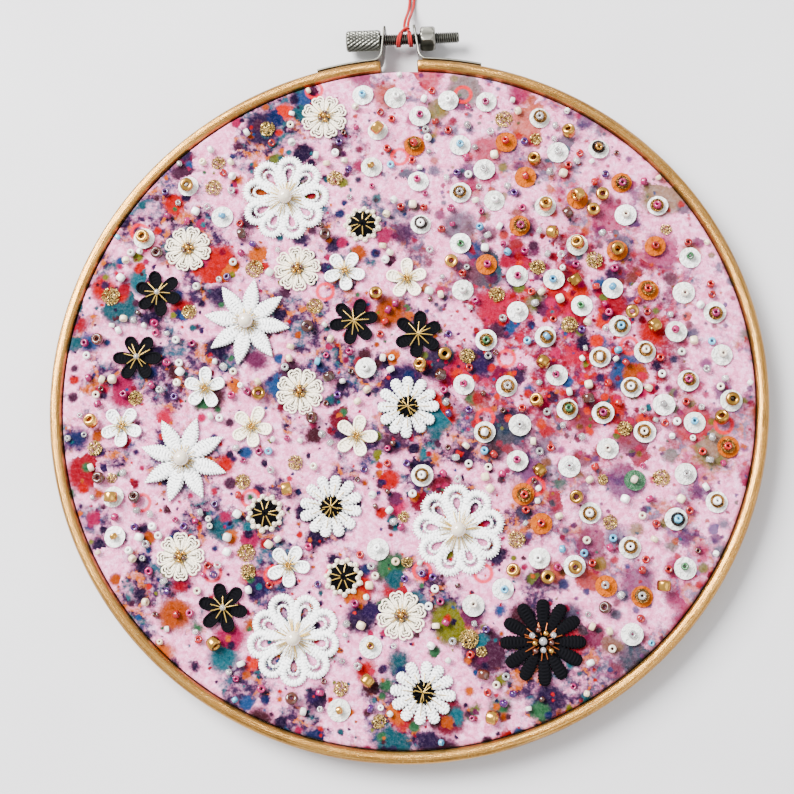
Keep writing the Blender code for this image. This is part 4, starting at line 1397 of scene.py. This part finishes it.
def add_sequin(x, y, colour, style, node=None):
    """A sequin sewn down by what lies on it: a bead, a metal bead, or a cup and a bead."""
    tilt = chooser.uniform(0.02, 0.17)
    way = chooser.uniform(0, math.tau)
    base = FELT_FRONT + 0.28 + SEQUIN_RADIUS * math.sin(tilt)
    place = at(x, y, base, chooser.uniform(0, math.tau), tilt, way)
    sequin = disc_shape(SEQUIN_RADIUS * chooser.uniform(0.98, 1.04), -0.2, 0.09)
    sequin = sequin.moved(place, chooser.uniform(0.3, 0.9))
    if node:
        make_piece("sequin_" + node, sequin, colour, [node])
    else:
        heaps[colour].append(sequin)
    off = chooser.uniform(0, 0.5)
    x = x + off * math.cos(way)
    y = y + off * math.sin(way)
    top = base + SEQUIN_THICKNESS
    if style == "metal":
        add_bead("gold_bead", METAL_BEAD, x, y, top, 0.15)
        return
    if style == "cup":
        cup = chooser.choice(["bronze_cup"] * 4 + ["dark_cup"])
        tip = at(x, y, top + 0.1, chooser.uniform(0, math.tau), chooser.uniform(0, 0.16), way)
        heaps[cup].append(disc_shape(2.0, 0.75, 0.012, 28).moved(tip, chooser.uniform(0.3, 0.9)))
        top += 0.22
    bead = chooser.choice(SEQUIN_BEADS)
    if colour == "orange_sequin":
        bead = chooser.choice(("coral_bead", "white_bead", "clear_bead", "pink_bead"))
    add_bead(bead, SEED_BEAD, x, y, top, 0.12)


def flower_side(x, y):
    """Negative where flowers are sewn, positive where sequins are."""
    return x + FLOWER_FIELD_LEAN * y - FLOWER_FIELD_X


def free_place(radius, spacing, side=0, even=1, edge=SEWN_EDGE):
    """A free place on the felt. With even above 1, the roomiest of so many is taken."""
    best, best_room = None, -1.0
    found = 0
    taken = np.array(sewn)
    for _ in range(4000):
        away = (edge - radius) * math.sqrt(chooser.random())
        angle = chooser.uniform(-math.pi, math.pi)
        x, y = away * math.cos(angle), away * math.sin(angle)
        if side and flower_side(x, y) * side < 0:
            continue
        room = (np.hypot(taken[:, 0] - x, taken[:, 1] - y) - taken[:, 2]).min() - radius
        if room < spacing:
            continue
        found += 1
        if room > best_room:
            best, best_room = (x, y), room
        if found >= even:
            break
    if best:
        sewn.append((*best, radius))
    return best


def sew_sequins():
    """Dresses the stacks' solids, then adds the other sequins evenly between them."""
    for node in sorted(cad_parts):
        kind = node.rsplit("_", 1)[0]
        if kind in ("white_stack", "orange_stack"):
            x, y, reach, turn = node_place(node)
            sewn.append((x, y, SEQUIN_RADIUS))
            add_sequin(x, y, kind.replace("stack", "sequin"), "cup", node)
    styles = ["bead"] * 5 + ["metal"] + ["cup"] * 2
    for number in range(66):
        place = free_place(SEQUIN_RADIUS, 2.2, 1, 26)
        if place:
            colour = "orange_sequin" if number % 6 == 3 else "white_sequin"
            colour = "green_sequin" if number == 20 else colour
            add_sequin(*place, colour, chooser.choice(styles))
    for number in range(12):
        place = free_place(SEQUIN_RADIUS, 0.8, -1, 4)
        if place:
            add_sequin(*place, "white_sequin", chooser.choice(styles))


# Material, template, how many on the flowers' side and on the sequins' side, share lying on their side
LOOSE_BEADS = [
    ("gold_bead", METAL_BEAD, 9, 17, 0.4),
    ("garnet_bead", GLASS_BEAD, 12, 3, 0.4),
    ("cream_bead", CUBE_BEAD, 6, 7, 0.3),
    ("white_bead", CUBE_BEAD, 8, 3, 0.3),
    ("pearl", SEED_BEAD, 14, 6, 0.3),
    ("coral_bead", SEED_BEAD, 14, 42, 0.3),
    ("pink_bead", SEED_BEAD, 30, 14, 0.4),
    ("purple_bead", SEED_BEAD, 24, 6, 0.4),
    ("white_bead", SEED_BEAD, 30, 12, 0.5),
    ("cream_bead", SEED_BEAD, 18, 12, 0.9),
    ("clear_bead", SEED_BEAD, 26, 26, 0.4),
    ("aqua_bead", SEED_BEAD, 3, 9, 0.4),
    ("garnet_bead", SMALL_BEAD, 14, 8, 0.4),
    ("clear_bead", SMALL_BEAD, 16, 16, 0.6),
    ("white_bead", SMALL_BEAD, 20, 10, 0.6),
    ("pink_bead", SMALL_BEAD, 10, 10, 0.5),
]


def sew_glitter():
    """Round patches of champagne glitter."""
    for number in range(34):
        radius = chooser.uniform(1.4, 2.9)
        place = free_place(radius, 0.4, -1 if number % 3 else 1)
        if not place:
            continue
        count = int(80 * radius**1.7)
        away = radius * np.sqrt(field.random(count))
        angle = field.uniform(0, math.tau, count)
        z = FELT_FRONT + 0.15 + 0.5 * (1 - (away / radius) ** 2) * field.random(count)
        size = field.uniform(0.17, 0.3, count)
        heaps["glitter"].append(flakes(polar(away, angle, z) + (*place, 0), size, field.random(count)))


def sew_beads():
    """Loose beads in every gap, the largest first, and a few along the felt's edge."""
    for material, template, on_left, on_right, lying in LOOSE_BEADS:
        radius = template.points[:, 0].max()
        for side, count in ((-1, on_left), (1, on_right)):
            for _ in range(count):
                place = free_place(radius, 0.25, side)
                if place:
                    add_bead(material, template, *place, FELT_FRONT - 0.05, lying)
    for number in range(16):
        angle = number * math.tau / 16 + chooser.uniform(-0.15, 0.15)
        away = FELT_RADIUS - 1.6
        x, y = away * math.cos(angle), away * math.sin(angle)
        material = chooser.choice(("white_bead", "cream_bead", "pink_bead", "aqua_bead", "clear_bead"))
        add_bead(material, SMALL_BEAD, x, y, FELT_FRONT - 0.1, 0.8)
        sewn.append((x, y, 1.0))


def stitch_back():
    """The runs of thread that show on the felt's back, from one sewn thing to the next."""
    back = FELT_FRONT - FELT_THICKNESS - 0.12
    places = np.array([(x, y) for x, y, radius in sewn if math.hypot(x, y) < 88])
    starts, ends = [], []
    for place in places[::2]:
        away = np.hypot(*(places - place).T)
        for other in np.argsort(away)[1:3]:
            starts.append((*place, back))
            ends.append((*places[other], back))
    heaps["white_thread"].append(strokes(starts, ends, 0.16, -0.12, 4))


make_camera()
make_thread()
make_surroundings()
make_outer_ring()
make_inner_ring()
make_bracket("clamp_plate_left", "bracket_left", LEFT_EAR)
make_bracket("clamp_plate_right", "bracket_right", RIGHT_EAR)
make_screw()
make_nut()
sew_flowers()
sew_sequins()
sew_glitter()
sew_beads()
stitch_back()
make_felt()
make_fuzz()
for material, shapes in heaps.items():
    make_piece("sewn_" + material, joined(shapes), material)
